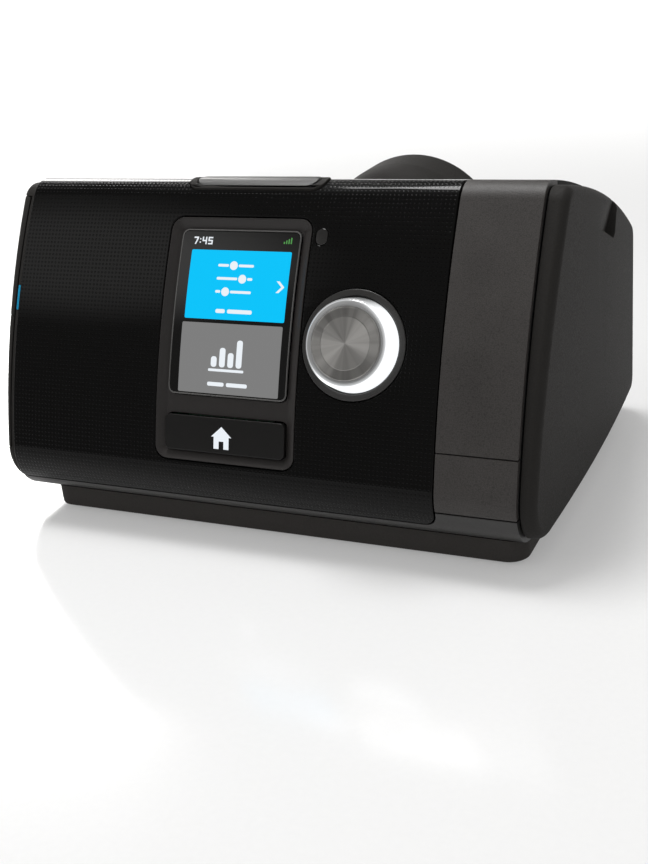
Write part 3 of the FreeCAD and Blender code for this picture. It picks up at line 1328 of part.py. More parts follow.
def ducts():
    """Riser from the blower to the tub, and the gallery from the tub to the outlet."""
    x = ("loc.duct_left", "loc.duct_right")
    inside_x = grown(x, "-dim.plenum_wall")
    riser_y = around("loc.inlet_port_y", "dim.plenum_half_depth")
    riser_z = ("loc.volute_mid - dim.plenum_half_depth", "loc.port_level + dim.plenum_half_depth")
    riser = cut("riser_shape",
                slab("riser_outer", "XY", x, riser_y, riser_z, "dim.filter_corner"),
                slab("riser_inner", "XY", inside_x, grown(riser_y, "-dim.plenum_wall"),
                     grown(riser_z, "-dim.plenum_wall"), "dim.filter_corner / 2"),
                rod("riser_inlet", "X", ("loc.inlet_port_y", "loc.volute_mid"), "dim.duct_radius",
                    around("loc.duct_left", "dim.plenum_wall * 2")),
                port("riser_port", "loc.inlet_port_y", around("loc.duct_right", "dim.plenum_wall * 2")))
    piece("flow_riser", riser)
    chimney_y = around("loc.outlet_port_y", "dim.plenum_half_depth")
    chimney_z = ("loc.port_level - dim.plenum_half_depth", "loc.gallery_top")
    gallery_x = ("loc.duct_left", "loc.outlet_x + dim.outlet_radius + dim.plenum_wall")
    gallery_y = (chimney_y[0], "dim.gallery_rear")
    gallery_z = ("loc.gallery_foot", "loc.gallery_top")
    outer = fuse("gallery_outer", block("chimney_outer", x, chimney_y, chimney_z),
                 block("gallery_block", gallery_x, gallery_y, gallery_z))
    inner = fuse("gallery_inner",
                 block("chimney_inner", inside_x, grown(chimney_y, "-dim.plenum_wall"),
                       grown(chimney_z, "-dim.plenum_wall")),
                 block("gallery_room", grown(gallery_x, "-dim.plenum_wall"), grown(gallery_y, "-dim.plenum_wall"),
                       grown(gallery_z, "-dim.plenum_wall")))
    exit_hole = rod("gallery_exit", "Z", ("loc.outlet_x", "dim.outlet_leg_y"), "dim.outlet_bore",
                    around("loc.gallery_top", "dim.plenum_wall * 2"))
    piece("outlet_gallery", cut("gallery", outer, inner, exit_hole,
                                port("gallery_port", "loc.outlet_port_y",
                                     around("loc.duct_right", "dim.plenum_wall * 2"))))
    sensor_z = (riser_z[1], f"{riser_z[1]} + dim.chip_height")
    piece("flow_sensor", block("flow_sensor_shape", around("(loc.duct_left + loc.duct_right) / 2", "dim.chip_side"),
                               around("loc.inlet_port_y", "dim.chip_side / 2"), sensor_z))


def elbow(name, radius, reach, foot):
    """Upright leg, ball and level leg of the outlet's elbow."""
    level_leg = rod(name + "_level", "Y", ("loc.outlet_x", "dim.outlet_level"), radius,
                    ("dim.outlet_leg_y", reach))
    upright = rod(name + "_upright", "Z", ("loc.outlet_x", "dim.outlet_leg_y"), radius, (foot, "dim.outlet_level"))
    ball = named("Part::Sphere", name + "_ball")
    ball.setExpression("Radius", radius)
    ball.setExpression("Placement", offset_placement("loc.outlet_x", "dim.outlet_leg_y", "dim.outlet_level",
                                                     NO_TURN, None))
    return fuse(name, level_leg, upright, ball)


def outlet():
    """Elbow that ends in the connector for the breathing tube."""
    spigot = rod("outlet_spigot", "Y", ("loc.outlet_x", "dim.outlet_level"), "dim.outlet_radius",
                 ("dim.hump_rear", "dim.outlet_reach"))
    outer = fuse("outlet_with_spigot", elbow("outlet_outer", "dim.outlet_neck", "dim.hump_rear", "loc.gallery_top"),
                 spigot)
    inner = elbow("outlet_inner", "dim.outlet_bore", f"dim.outlet_reach + {PAST}", f"loc.gallery_top - {PAST}")
    piece("outlet_connector", cut("outlet", outer, inner))


# ---------------------------------------------------------------- electronics
def main_board():
    """Main board behind the display with its chips, radio, cable and screws."""
    x = around("dim.board_shift", "dim.board_length / 2")
    z = around("0", "dim.board_height / 2")
    board_back = "dim.board_depth + dim.board_thickness"
    sheet = slab("board_sheet", "XZ", x, z, ("dim.board_depth", board_back), "dim.filter_corner", "screen_frame")
    through = around("dim.board_depth", "dim.board_thickness * 2")
    bores = [rod("board_bore", "Y", at, "dim.screw_radius", through, "screen_frame")
             for at in board_screw_places()]
    piece("main_board", cut("board", sheet, *bores))
    chip_y = (board_back, f"{board_back} + dim.chip_height")
    chips = [block("chip", around(f"dim.board_shift + {step} * dim.chip_side * 2", "dim.chip_side / 2"), chip_y,
                   around("-dim.chip_side", "dim.chip_side / 2"), "screen_frame") for step in (-1, 0, 1)]
    radio = block("radio", around("dim.board_shift", "dim.chip_side"), chip_y,
                  around("dim.board_height / 4", "dim.radio_height / 2"), "screen_frame")
    piece("board_chips", group("chips_and_radio", *chips, radio))
    screws = [fuse("board_screw", rod("board_screw_head", "Y", at, "dim.screw_head_radius",
                                      (board_back, f"{board_back} + dim.screw_head_height"), "screen_frame"),
                   rod("board_screw_shank", "Y", at, "dim.screw_radius",
                       ("dim.board_depth - dim.post_bore", board_back), "screen_frame"))
              for at in board_screw_places()]
    machine_screws.extend(screws)


def left_sockets():
    """Memory card in its slot, and the adapter connector."""
    y = around("-dim.card_depth", "dim.card_thickness / 2")
    z = around("dim.card_level", "dim.card_width / 2")
    card_x = ("loc.card_left", "loc.card_left + dim.card_length")
    piece("memory_card", block("card", card_x, y, z))
    slot_x = ("loc.body_left + dim.skin", f"{card_x[1]} + dim.skin")
    slot = block("slot_body", slot_x, grown(y, "dim.skin"), grown(z, "dim.skin"))
    pocket = block("slot_pocket", card_x, grown(y, "dim.running_clearance"), grown(z, "dim.running_clearance"))
    piece("card_slot", cut("slot", slot, pocket))
    plug_y = around("-dim.adapter_depth", "dim.adapter_width / 2")
    plug_z = around("dim.adapter_level", "dim.adapter_height / 2")
    plug_x = ("loc.card_left", "loc.body_left + dim.skin * 2")
    plug = block("adapter_body", plug_x, plug_y, plug_z)
    well = slab("adapter_well", "YZ", grown(plug_y, "-dim.skin"), grown(plug_z, "-dim.skin"),
                (LEFTMOST, "loc.card_left + dim.inlet_pocket / 2"), "dim.skin")
    piece("adapter_connector", cut("adapter", plug, well))


# ---------------------------------------------------------------- rear
def filter_pin(name):
    """Pin that the filter cover turns on, seated in the rear wall at both ends."""
    return rod(name, "X", ("loc.filter_hinge_y", "loc.filter_hinge_level"), "dim.hinge_pin_radius",
               grown(filter_span()[0], "dim.pin_seat"))


def air_filter():
    """Louvred cover on its pin and the filter pad behind it."""
    x, z = filter_span()
    leaf_x = grown(x, "-dim.seam")
    leaf_z = ("loc.filter_hinge_level", f"{z[1]} - dim.seam")
    leaf = slab("filter_leaf", "XZ", leaf_x, leaf_z, ("dim.rear_depth - dim.skin", "dim.rear_depth"),
                "dim.filter_corner")
    knuckle = rod("filter_knuckle", "X", ("loc.filter_hinge_y", "loc.filter_hinge_level"), "dim.hinge_radius",
                  grown(leaf_x, "-dim.filter_corner"))
    bore = rod("filter_bore", "X", ("loc.filter_hinge_y", "loc.filter_hinge_level"),
               "dim.hinge_pin_radius + dim.running_clearance", leaf_x)
    slots = []
    for number in range(int(dim.louvre_count)):
        level = f"dim.filter_level + ({number} - (dim.louvre_count - 1) / 2) * dim.louvre_pitch"
        slots.append(block("louvre", grown(leaf_x, "-dim.skin * 2"), around("dim.rear_depth", "dim.skin * 2"),
                           around(level, "dim.louvre_height / 2")))
    piece("filter_cover", cut("filter_cover_shape", fuse("leaf_and_knuckle", leaf, knuckle), bore, *slots))
    hinge_pins.append(filter_pin("filter_axle"))
    pad_y = ("dim.rear_depth - dim.skin - dim.seam - dim.filter_thickness", "dim.rear_depth - dim.skin - dim.seam")
    piece("air_filter", slab("filter_pad", "XZ", grown(x, "-dim.skin"), grown(z, "-dim.skin"), pad_y,
                             "dim.filter_corner"))


def clip_pin(name):
    """Pin of the cable clip."""
    reach = "dim.clip_width / 2 + dim.seat_gap + dim.clip_ear"
    return rod(name, "X", ("loc.clip_y", "loc.clip_hinge_level"), "dim.hinge_pin_radius",
               around("loc.inlet_x", reach))


def power_inlet():
    """Round power jack in the rear wall and the clip that keeps its plug in."""
    x = around("loc.inlet_x", "dim.inlet_width / 2")
    z = around("dim.inlet_level", "dim.inlet_height / 2")
    centre = ("loc.inlet_x", "dim.inlet_level")
    shell = block("jack_body", x, ("dim.rear_depth - dim.inlet_depth", "dim.rear_depth"), z)
    bore = rod("jack_bore", "Y", centre, "dim.jack_radius", ("dim.rear_depth - dim.inlet_pocket", REARMOST))
    contact = rod("jack_pin", "Y", centre, "dim.jack_pin_radius",
                  (f"dim.rear_depth - dim.inlet_pocket - {PAST}", "dim.rear_depth - dim.skin"))
    piece("power_inlet", fuse("jack", cut("jack_shell", shell, bore), contact))
    hinge = ("loc.clip_y", "loc.clip_hinge_level")
    width = around("loc.inlet_x", "dim.clip_width / 2")
    thick = around("loc.clip_y", "dim.clip_thickness / 2")
    blade = block("clip_blade", width, thick, ("loc.clip_hinge_level - dim.clip_height", "loc.clip_hinge_level"))
    knuckle = rod("clip_knuckle", "X", hinge, "dim.clip_thickness / 2", width)
    bore = rod("clip_bore", "X", hinge, "dim.hinge_pin_radius + dim.running_clearance", width)
    piece("cable_clip", cut("clip", fuse("clip_and_knuckle", blade, knuckle), bore))
    hinge_pins.append(clip_pin("clip_axle"))


# ---------------------------------------------------------------- build, check and write
for build_part in (front_fascia, strip_panels, front_carrier, left_side, lower_case, upper_case, base, screen,
                   dial, start_button, bay, tub, blower, muffler, ducts, outlet, main_board, left_sockets,
                   air_filter, power_inlet):
    build_part()
piece("hinge_pins", group("all_hinge_pins", *hinge_pins))
piece("machine_screws", group("all_machine_screws", *machine_screws))
doc.recompute()
faults = [thing.Label for thing in doc.Objects if "Invalid" in thing.State or "Error" in thing.State]
if faults:
    raise RuntimeError(f"these objects failed: {faults}")
for name, shape in pieces.items():
    if shape.Shape.isNull() or not shape.Shape.isValid():
        raise RuntimeError(f"{name} has no valid shape")
os.makedirs("parts", exist_ok=True)
for name, shape in pieces.items():
    shape.Shape.exportStep(f"parts/{name}.step")
print(f"{len(pieces)} pieces written")
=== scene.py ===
"""Looks of a bedside breathing machine with a heated water tub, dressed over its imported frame."""
import logging
import math
from dataclasses import dataclass, field
from enum import Enum
from typing import Callable, Optional, Protocol, Sequence, Union

import bmesh
import bpy
import numpy as np
from mathutils import Matrix, Vector


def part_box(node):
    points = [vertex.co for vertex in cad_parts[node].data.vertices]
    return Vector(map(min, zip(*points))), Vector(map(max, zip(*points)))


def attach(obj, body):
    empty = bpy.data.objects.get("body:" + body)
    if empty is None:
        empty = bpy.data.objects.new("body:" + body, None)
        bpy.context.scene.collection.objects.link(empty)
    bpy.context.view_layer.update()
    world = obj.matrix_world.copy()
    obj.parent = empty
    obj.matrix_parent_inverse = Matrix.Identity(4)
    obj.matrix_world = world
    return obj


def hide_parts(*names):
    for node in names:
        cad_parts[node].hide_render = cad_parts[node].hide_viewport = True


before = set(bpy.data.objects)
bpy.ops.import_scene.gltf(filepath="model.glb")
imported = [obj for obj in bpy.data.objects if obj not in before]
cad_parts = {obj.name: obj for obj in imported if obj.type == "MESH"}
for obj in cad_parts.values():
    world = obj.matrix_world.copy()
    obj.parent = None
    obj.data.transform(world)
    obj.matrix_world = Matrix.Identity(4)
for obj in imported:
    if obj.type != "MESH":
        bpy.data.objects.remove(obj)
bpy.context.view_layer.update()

log = logging.getLogger("breathing_machine")
MM = 0.001
WELD = 2e-6
FLAT_ANGLE = 0.3
NOISE_BAND = (0.3, 0.7)
Point2 = tuple[float, float]
Point3 = tuple[float, float, float]
Loop = list[Point2]
SurfaceMap = Callable[[float, float], Vector]
Material = bpy.types.Material
Piece = bpy.types.Object
Socket = bpy.types.NodeSocket
Operand = Union[Socket, float]


class Body(Enum):
    """Rigid bodies that the pieces ride on."""

    ROOT = "root"
    DIAL = "dial"
    HOME_KEY = "home_key_body"
    START_BUTTON = "start_button_body"
    TUB = "tub"
    CARD_DOOR = "card_door"
    ADAPTER_DOOR = "adapter_door"
    FILTER_DOOR = "filter_door"
    CLIP = "clip"


class Slot(Enum):
    """Labels for the kinds of finish of the pieces."""

    FASCIA = "fascia_gloss"
    CASE = "case_matte"
    STRIP = "strip_matte"
    BUTTON = "button_matte"
    LENS = "lens_glass"
    DISPLAY = "display_lit"
    SKIRT = "skirt_lit"
    DIAL_METAL = "dial_metal"
    STEEL = "steel"
    INNER = "inner_plastic"
    RUBBER = "soft_rubber"


def metres(sizes: Sequence[float]) -> tuple[float, ...]:
    """Sizes in metres, from millimetres."""
    return tuple(size * MM for size in sizes)


# ---------------------------------------------------------------- shape of the body
@dataclass
class SideProfile:
    """Bowed front and top of the body in its Y-Z plane, as a path from the screen's centre, in mm."""

    nose: Point2 = (-79.24, 7.5)
    crest: Point2 = (-31.8, 116.6)
    shoulder: Point2 = (70.0, 76.5)
    front_radius: float = 270.0
    top_radius: float = 330.0
    nose_round: float = 16.5
    crest_round: float = 9.0
    screen_level: float = 68.9
    step: float = 0.4
    rises: np.ndarray = field(init=False)
    points: np.ndarray = field(init=False)
    normals: np.ndarray = field(init=False)

    def __post_init__(self) -> None:
        """Sample the path once."""
        front = self._bow_centre(self.nose, self.crest, self.front_radius)
        top = self._bow_centre(self.crest, self.shoulder, self.top_radius)
        nose = np.array([0.0, self.nose[1] + self.nose_round])
        reach = self.front_radius - self.nose_round
        nose[0] = front[0] - math.sqrt(reach ** 2 - (nose[1] - front[1]) ** 2)
        crest = self._meeting(front, self.front_radius - self.crest_round,
                              top, self.top_radius - self.crest_round)
        touch = [nose + np.array([0.0, -self.nose_round]),
                 self._beyond(front, nose, self.front_radius),
                 self._beyond(front, crest, self.front_radius),
                 self._beyond(top, crest, self.top_radius),
                 np.array(self.shoulder)]
        arcs = [(nose, self.nose_round), (front, self.front_radius),
                (crest, self.crest_round), (top, self.top_radius)]
        points, normals = [], []
        for (centre, radius), ends in zip(arcs, zip(touch, touch[1:])):
            first, last = (math.atan2(end[1] - centre[1], end[0] - centre[0]) % math.tau for end in ends)
            count = max(8, int(abs(last - first) * radius / self.step))
            for angle in np.linspace(first, last, count, endpoint=False):
                out = np.array([math.cos(angle), math.sin(angle)])
                normals.append(out)
                points.append(centre + radius * out)
        self.points, self.normals = np.array(points), np.array(normals)
        lengths = np.concatenate([[0.0], np.cumsum(np.linalg.norm(np.diff(self.points, axis=0), axis=1))])
        front_part = self.points[:, 0] < self.crest[0]
        start = np.interp(self.screen_level, self.points[front_part, 1], lengths[front_part])
        self.rises = lengths - start

    @staticmethod
    def _bow_centre(start: Point2, end: Point2, radius: float) -> np.ndarray:
        """Centre of the arc through two corners.

        Args:
            start: First corner.
            end: Second corner.
            radius: Radius of the arc.

        Returns:
            The centre, on the inner side.
        """
        first, last = np.array(start), np.array(end)
        chord = last - first
        length = float(np.linalg.norm(chord))
        inward = np.array([chord[1], -chord[0]]) / length
        return (first + last) / 2 + inward * math.sqrt(radius ** 2 - length ** 2 / 4)

    @staticmethod
    def _meeting(first: np.ndarray, near: float, second: np.ndarray, far: float) -> np.ndarray:
        """Upper point where two circles meet.

        Args:
            first: Centre of the first circle.
            near: Its radius.
            second: Centre of the second circle.
            far: Its radius.

        Returns:
            The meeting point with the greater height.
        """
        gap = second - first
        length = float(np.linalg.norm(gap))
        along = (near ** 2 - far ** 2 + length ** 2) / (2 * length)
        side = math.sqrt(near ** 2 - along ** 2)
        unit = gap / length
        across = np.array([-unit[1], unit[0]])
        both = [first + unit * along + across * side, first + unit * along - across * side]
        return max(both, key=lambda point: point[1])

    @staticmethod
    def _beyond(centre: np.ndarray, through: np.ndarray, radius: float) -> np.ndarray:
        """Point at a radius from a centre, on the ray through another point."""
        ray = through - centre
        return centre + ray / np.linalg.norm(ray) * radius

    def at(self, rise: float, depth: float) -> Vector:
        """Point of the body's surface, or under it.

        Args:
            rise: Distance along the surface above the screen's centre.
            depth: Distance behind the surface; a negative one stands proud.

        Returns:
            The point in the X = 0 plane, in mm.
        """
        y, z = (np.interp(rise, self.rises, self.points[:, side]) for side in (0, 1))
        out = self.out_at(rise)
        return Vector((0.0, y - out.y * depth, z - out.z * depth))

    def out_at(self, rise: float) -> Vector:
        """Outward direction of the surface at a rise."""
        y, z = (np.interp(rise, self.rises, self.normals[:, side]) for side in (0, 1))
        return Vector((0.0, y, z)).normalized()

    def rise_at_level(self, level: float) -> float:
        """Rise of the front surface at a height over the ground."""
        front_part = self.points[:, 1].argmax()
        return float(np.interp(level, self.points[:front_part, 1], self.rises[:front_part]))


@dataclass(frozen=True)
class Axes:
    """Local frame: an origin in mm, with directions to the right, upwards and outwards."""

    origin: Vector
    right: Vector
    up: Vector
    out: Vector

    def point(self, right: float, up: float, out: float) -> Vector:
        """Point of the row frame, in metres, from local millimetres."""
        return (self.origin + self.right * right + self.up * up + self.out * out) * MM

    def turn(self) -> Matrix:
        """Rotation whose columns are the local directions."""
        return Matrix((self.right, self.up, self.out)).transposed()


# ---------------------------------------------------------------- outlines
def rounded_loop(u: Point2, v: Point2, corner: float, steps: int = 10) -> Loop:
    """Rounded rectangle, counter-clockwise.

    Args:
        u: Left and right limits.
        v: Lower and upper limits.
        corner: Radius of the corners.
        steps: Segments of each corner.

    Returns:
        Points of the outline.
    """
    loop: Loop = []
    centres = ((u[1] - corner, v[0] + corner, -90), (u[1] - corner, v[1] - corner, 0),
               (u[0] + corner, v[1] - corner, 90), (u[0] + corner, v[0] + corner, 180))
    for cu, cv, start in centres:
        for i in range(steps + 1):
            angle = math.radians(start + 90 * i / steps)
            loop.append((cu + corner * math.cos(angle), cv + corner * math.sin(angle)))
    return loop


def oval_loop(centre: Point2, half: Point2, steps: int = 48) -> Loop:
    """Ellipse about a centre with its half width and half height, counter-clockwise."""
    turns = [math.tau * i / steps for i in range(steps)]
    return [(centre[0] + half[0] * math.cos(turn), centre[1] + half[1] * math.sin(turn)) for turn in turns]


def inset_of(u: float, v: float, half: Point2, corner: float) -> float:
    """Distance that a point lies inside a rounded rectangle about the origin; outside it is negative."""
    across, along = abs(u) - half[0] + corner, abs(v) - half[1] + corner
    return corner - math.hypot(max(across, 0.0), max(along, 0.0)) - min(max(across, along), 0.0)


# ---------------------------------------------------------------- meshes
def linked(name: str, data: bpy.types.ID) -> Piece:
    """Put an object into the scene.

    Args:
        name: Name of the object.
        data: Its mesh, lamp or camera.

    Returns:
        The new object.
    """
    thing = bpy.data.objects.new(name, data)
    bpy.context.scene.collection.objects.link(thing)
    return thing


def new_object(name: str, verts: Sequence[Vector], faces: Sequence[Sequence[int]]) -> Piece:
    """Make a mesh object in the scene.

    Args:
        name: Name of the piece.
        verts: Vertices in metres, in the row frame.
        faces: Vertex numbers of each face.

    Returns:
        The new object.
    """
    mesh = bpy.data.meshes.new(name)
    mesh.from_pydata([tuple(v) for v in verts], [], [tuple(f) for f in faces])
    mesh.update()
    return linked(name, mesh)


def from_bmesh(name: str, bm: bmesh.types.BMesh) -> Piece:
    """Turn an edited mesh into an object in the scene.

    Args:
        name: Name of the piece.
        bm: The edited mesh; it is freed.

    Returns:
        The new object.
    """
    mesh = bpy.data.meshes.new(name)
    bm.to_mesh(mesh)
    bm.free()
    return linked(name, mesh)


def lay_uv(thing: Piece, place: Callable[[int], Point2]) -> None:
    """Give a piece a UV map.

    Args:
        thing: The piece.
        place: The map's coordinates, in metres, as a function of the vertex number.
    """
    layer = thing.data.uv_layers.new(name="surface")
    for corner in thing.data.loops:
        layer.data[corner.index].uv = place(corner.vertex_index)


def filled_region(loops: Sequence[Loop], lines: Sequence[float] = (),
                  rings: Sequence[Loop] = ()) -> tuple[Loop, list[tuple[int, ...]]]:
    """Flat faces between an outline and its holes, cut along lines of constant v.

    Args:
        loops: The outer outline first, then the holes.
        lines: Values of v to cut along.
        rings: Outlines round the first one, from the inside outwards, with as many points as it has.

    Returns:
        Points and faces, counter-clockwise.
    """
    bm = bmesh.new()
    edges, inner, tiny = [], [], 1e-5
    for loop in loops:
        corners = [bm.verts.new((u, v, 0)) for u, v in loop]
        edges += [bm.edges.new((a, b)) for a, b in zip(corners, corners[1:] + corners[:1])]
        inner = inner or corners
    bmesh.ops.triangle_fill(bm, use_beauty=True, use_dissolve=False, edges=edges, normal=(0, 0, 1))
    for ring in rings:
        outer = [bm.verts.new((u, v, 0)) for u, v in ring]
        for a, b, c, d in zip(outer, outer[1:] + outer[:1], inner[1:] + inner[:1], inner):
            bm.faces.new((a, b, c, d))
        inner = outer
    for line in lines:
        geometry = bm.verts[:] + bm.edges[:] + bm.faces[:]
        bmesh.ops.bisect_plane(bm, geom=geometry, dist=tiny, plane_co=(0, line, 0), plane_no=(0, 1, 0))
    bmesh.ops.remove_doubles(bm, verts=bm.verts, dist=tiny)
    bmesh.ops.dissolve_degenerate(bm, dist=tiny, edges=bm.edges)
    for face in bm.faces:
        if face.normal.z < 0:
            face.normal_flip()
    bm.verts.index_update()
    points = [(v.co.x, v.co.y) for v in bm.verts]
    faces = [tuple(v.index for v in face.verts) for face in bm.faces]
    bm.free()
    return points, faces


def closed_plate(name: str, points: Loop, faces: Sequence[tuple[int, ...]], front: SurfaceMap,
                 back: SurfaceMap) -> Piece:
    """Solid plate from a flat region that two maps carry to its front and its back.

    Args:
        name: Name of the piece.
        points: Points of the region.
        faces: Faces of the region, counter-clockwise seen from the front.
        front: Map of the front, to metres.
        back: Map of the back, to metres.

    Returns:
        The plate, with the region's coordinates as its UV map.
    """
    count = len(points)
    verts = [front(u, v) for u, v in points] + [back(u, v) for u, v in points]
    solid = [*faces, *(tuple(i + count for i in reversed(face)) for face in faces)]
    directed = {(face[i], face[(i + 1) % len(face)]) for face in faces for i in range(len(face))}
    solid += [(b, a, a + count, b + count) for a, b in directed if (b, a) not in directed]
    plate = new_object(name, verts, solid)
    lay_uv(plate, lambda at: metres(points[at % count]))
    return plate


def settle(thing: Piece) -> Piece:
    """Apply the modifiers, so that the piece is a plain mesh.

    Args:
        thing: Piece with modifiers.

    Returns:
        The same piece, without them.
    """
    graph = bpy.context.evaluated_depsgraph_get()
    graph.update()
    mesh = bpy.data.meshes.new_from_object(thing.evaluated_get(graph), preserve_all_data_layers=True,
                                           depsgraph=graph)
    thing.modifiers.clear()
    thing.data = mesh
    mesh.name = thing.name
    return thing


def soften(thing: Piece, width: float, segments: int = 2, angle: float = 34.0, inside: str = "") -> Piece:
    """Round the sharp edges and shade the rest smoothly.

    Args:
        thing: Piece to finish.
        width: Width of the rounding in mm.
        segments: Segments of the rounding.
        angle: Edges sharper than this, in degrees, are rounded.
        inside: Node of the frame whose box the piece keeps to, if it has one.

    Returns:
        The finished piece.
    """
    if width > 0:
        bevel = thing.modifiers.new("edge", "BEVEL")
        bevel.width = width * MM
        bevel.segments = segments
        bevel.limit_method = "ANGLE"
        bevel.angle_limit = math.radians(angle)
        bevel.use_clamp_overlap = False
        bevel.miter_outer = "MITER_ARC"
        settle(thing)
    if inside:
        low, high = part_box(inside)
        for vertex in thing.data.vertices:
            vertex.co = [min(max(part, least), most) for part, least, most in zip(vertex.co, low, high)]
    for polygon in thing.data.polygons:
        polygon.use_smooth = True
    thing.data.set_sharp_from_angle(angle=math.radians(angle))
    weighted = thing.modifiers.new("shade", "WEIGHTED_NORMAL")
    weighted.keep_sharp = True
    weighted.weight = 60
    return settle(thing)


def cad_copy(node: str, name: str) -> Piece:
    """Copy a solid of the frame, with its flat faces made whole.

    Args:
        node: Node of the frame.
        name: Name of the new piece.

    Returns:
        The copy, without any finish.
    """
    bm = bmesh.new()
    bm.from_mesh(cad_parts[node].data)
    bmesh.ops.remove_doubles(bm, verts=bm.verts, dist=WELD)
    bmesh.ops.dissolve_limit(bm, angle_limit=math.radians(FLAT_ANGLE), verts=bm.verts, edges=bm.edges)
    thing = from_bmesh(name, bm)
    mesh = thing.data
    if mesh.attributes.get("custom_normal"):
        mesh.attributes.remove(mesh.attributes["custom_normal"])
    for layer in list(mesh.uv_layers):
        mesh.uv_layers.remove(layer)
    mesh.materials.clear()
    return thing


def refined(node: str, name: str, edge: float, segments: int = 2) -> Piece:
    """Copy of a node with its edges rounded, kept to the node's own box."""
    return soften(cad_copy(node, name), edge, segments, inside=node)


def joined(name: str, things: Sequence[Piece]) -> Piece:
    """Make one piece of several meshes that have their place in their vertices.

    Args:
        name: Name of the new piece.
        things: Meshes to join; they are removed.

    Returns:
        The joined piece.
    """
    bm = bmesh.new()
    for thing in things:
        bm.from_mesh(thing.data)
        bpy.data.objects.remove(thing)
    return from_bmesh(name, bm)


def turned(name: str, axes: Axes, outline: Sequence[Point2], steps: int = 128) -> Piece:
    """Make a solid of revolution about the outward axis of a frame.

    Args:
        name: Name of the piece.
        axes: Frame of the turning axis.
        outline: Pairs of radius and height, from the axis in front round to the axis behind.
        steps: Segments round the axis.

    Returns:
        The turned solid, with the angle and the radius as its UV map.
    """
    verts: list[Vector] = []
    rings: list[list[int]] = []
    for radius, height in outline:
        turns = [math.tau * i / steps for i in range(steps if radius else 1)]
        rings.append(list(range(len(verts), len(verts) + len(turns))))
        verts += [axes.point(radius * math.cos(turn), radius * math.sin(turn), height) for turn in turns]
    faces, marks = [], []
    for inner, outer, (near, _), (far, _) in zip(rings, rings[1:], outline, outline[1:]):
        for i in range(steps):
            j = i + 1
            corners = [(inner[i % len(inner)], (i / steps, near * MM)),
                       (outer[i % len(outer)], (i / steps, far * MM)),
                       (outer[j % len(outer)], (j / steps, far * MM)),
                       (inner[j % len(inner)], (j / steps, near * MM))]
            if not near or not far:
                corners.pop(2 if near else 3)
            faces.append([vertex for vertex, _ in corners])
            marks += [mark for _, mark in corners]
    thing = new_object(name, verts, faces)
    for corner, mark in zip(thing.data.uv_layers.new(name="surface").data, marks):
        corner.uv = mark
    return thing


# ---------------------------------------------------------------- node trees
class NodeTree:
    """Node tree while it is being built."""

    def __init__(self, tree: bpy.types.NodeTree) -> None:
        """Start with an empty tree."""
        self.tree = tree
        tree.nodes.clear()

    def put(self, target: Socket, value: object) -> None:
        """Give a socket its value.

        Args:
            target: Socket of a node.
            value: Socket to link it to, or a constant.
        """
        if isinstance(value, Socket):
            self.tree.links.new(value, target)
        else:
            target.default_value = value

    def add(self, kind: str, inputs: Optional[dict] = None, **settings: object) -> bpy.types.Node:
        """Add a node.

        Args:
            kind: Type of the node.
            inputs: Values of its sockets, by their name or number.
            settings: Properties to set on it.

        Returns:
            The node.
        """
        node = self.tree.nodes.new(kind)
        for name, value in settings.items():
            setattr(node, name, value)
        for key, value in (inputs or {}).items():
            self.put(node.inputs[key], value)
        return node

    def math(self, operation: str, *operands: Operand) -> Socket:
        """Arithmetic on sockets or numbers."""
        return self.add("ShaderNodeMath", dict(enumerate(operands)), operation=operation).outputs[0]

    def vector(self, operation: str, first: Socket, second: Sequence[float] = (0.0, 0.0, 0.0)) -> Socket:
        """Arithmetic on a vector and a constant."""
        node = self.add("ShaderNodeVectorMath", {0: first, 1: second}, operation=operation)
        return node.outputs["Value" if operation in ("LENGTH", "DOT_PRODUCT") else "Vector"]

    def parts(self, value: Socket) -> bpy.types.NodeOutputs:
        """The X, Y and Z parts of a vector."""
        return self.add("ShaderNodeSeparateXYZ", {0: value}).outputs

    def spread(self, value: Socket, low: float, high: float, start: float = 0.0, end: float = 1.0) -> Socket:
        """Value that goes smoothly from low to high while another one goes from start to end."""
        inputs = {"Value": value, "From Min": start, "From Max": end, "To Min": low, "To Max": high}
        return self.add("ShaderNodeMapRange", inputs, interpolation_type="SMOOTHSTEP").outputs["Result"]

    def seen_or_mirrored(self) -> Socket:
        """One for what the camera sees, also in gloss and through glass, and nought for light on the rest."""
        path = self.add("ShaderNodeLightPath").outputs
        seen = self.math("MAXIMUM", path["Is Camera Ray"], path["Is Glossy Ray"])
        return self.math("MAXIMUM", seen, path["Is Transmission Ray"])


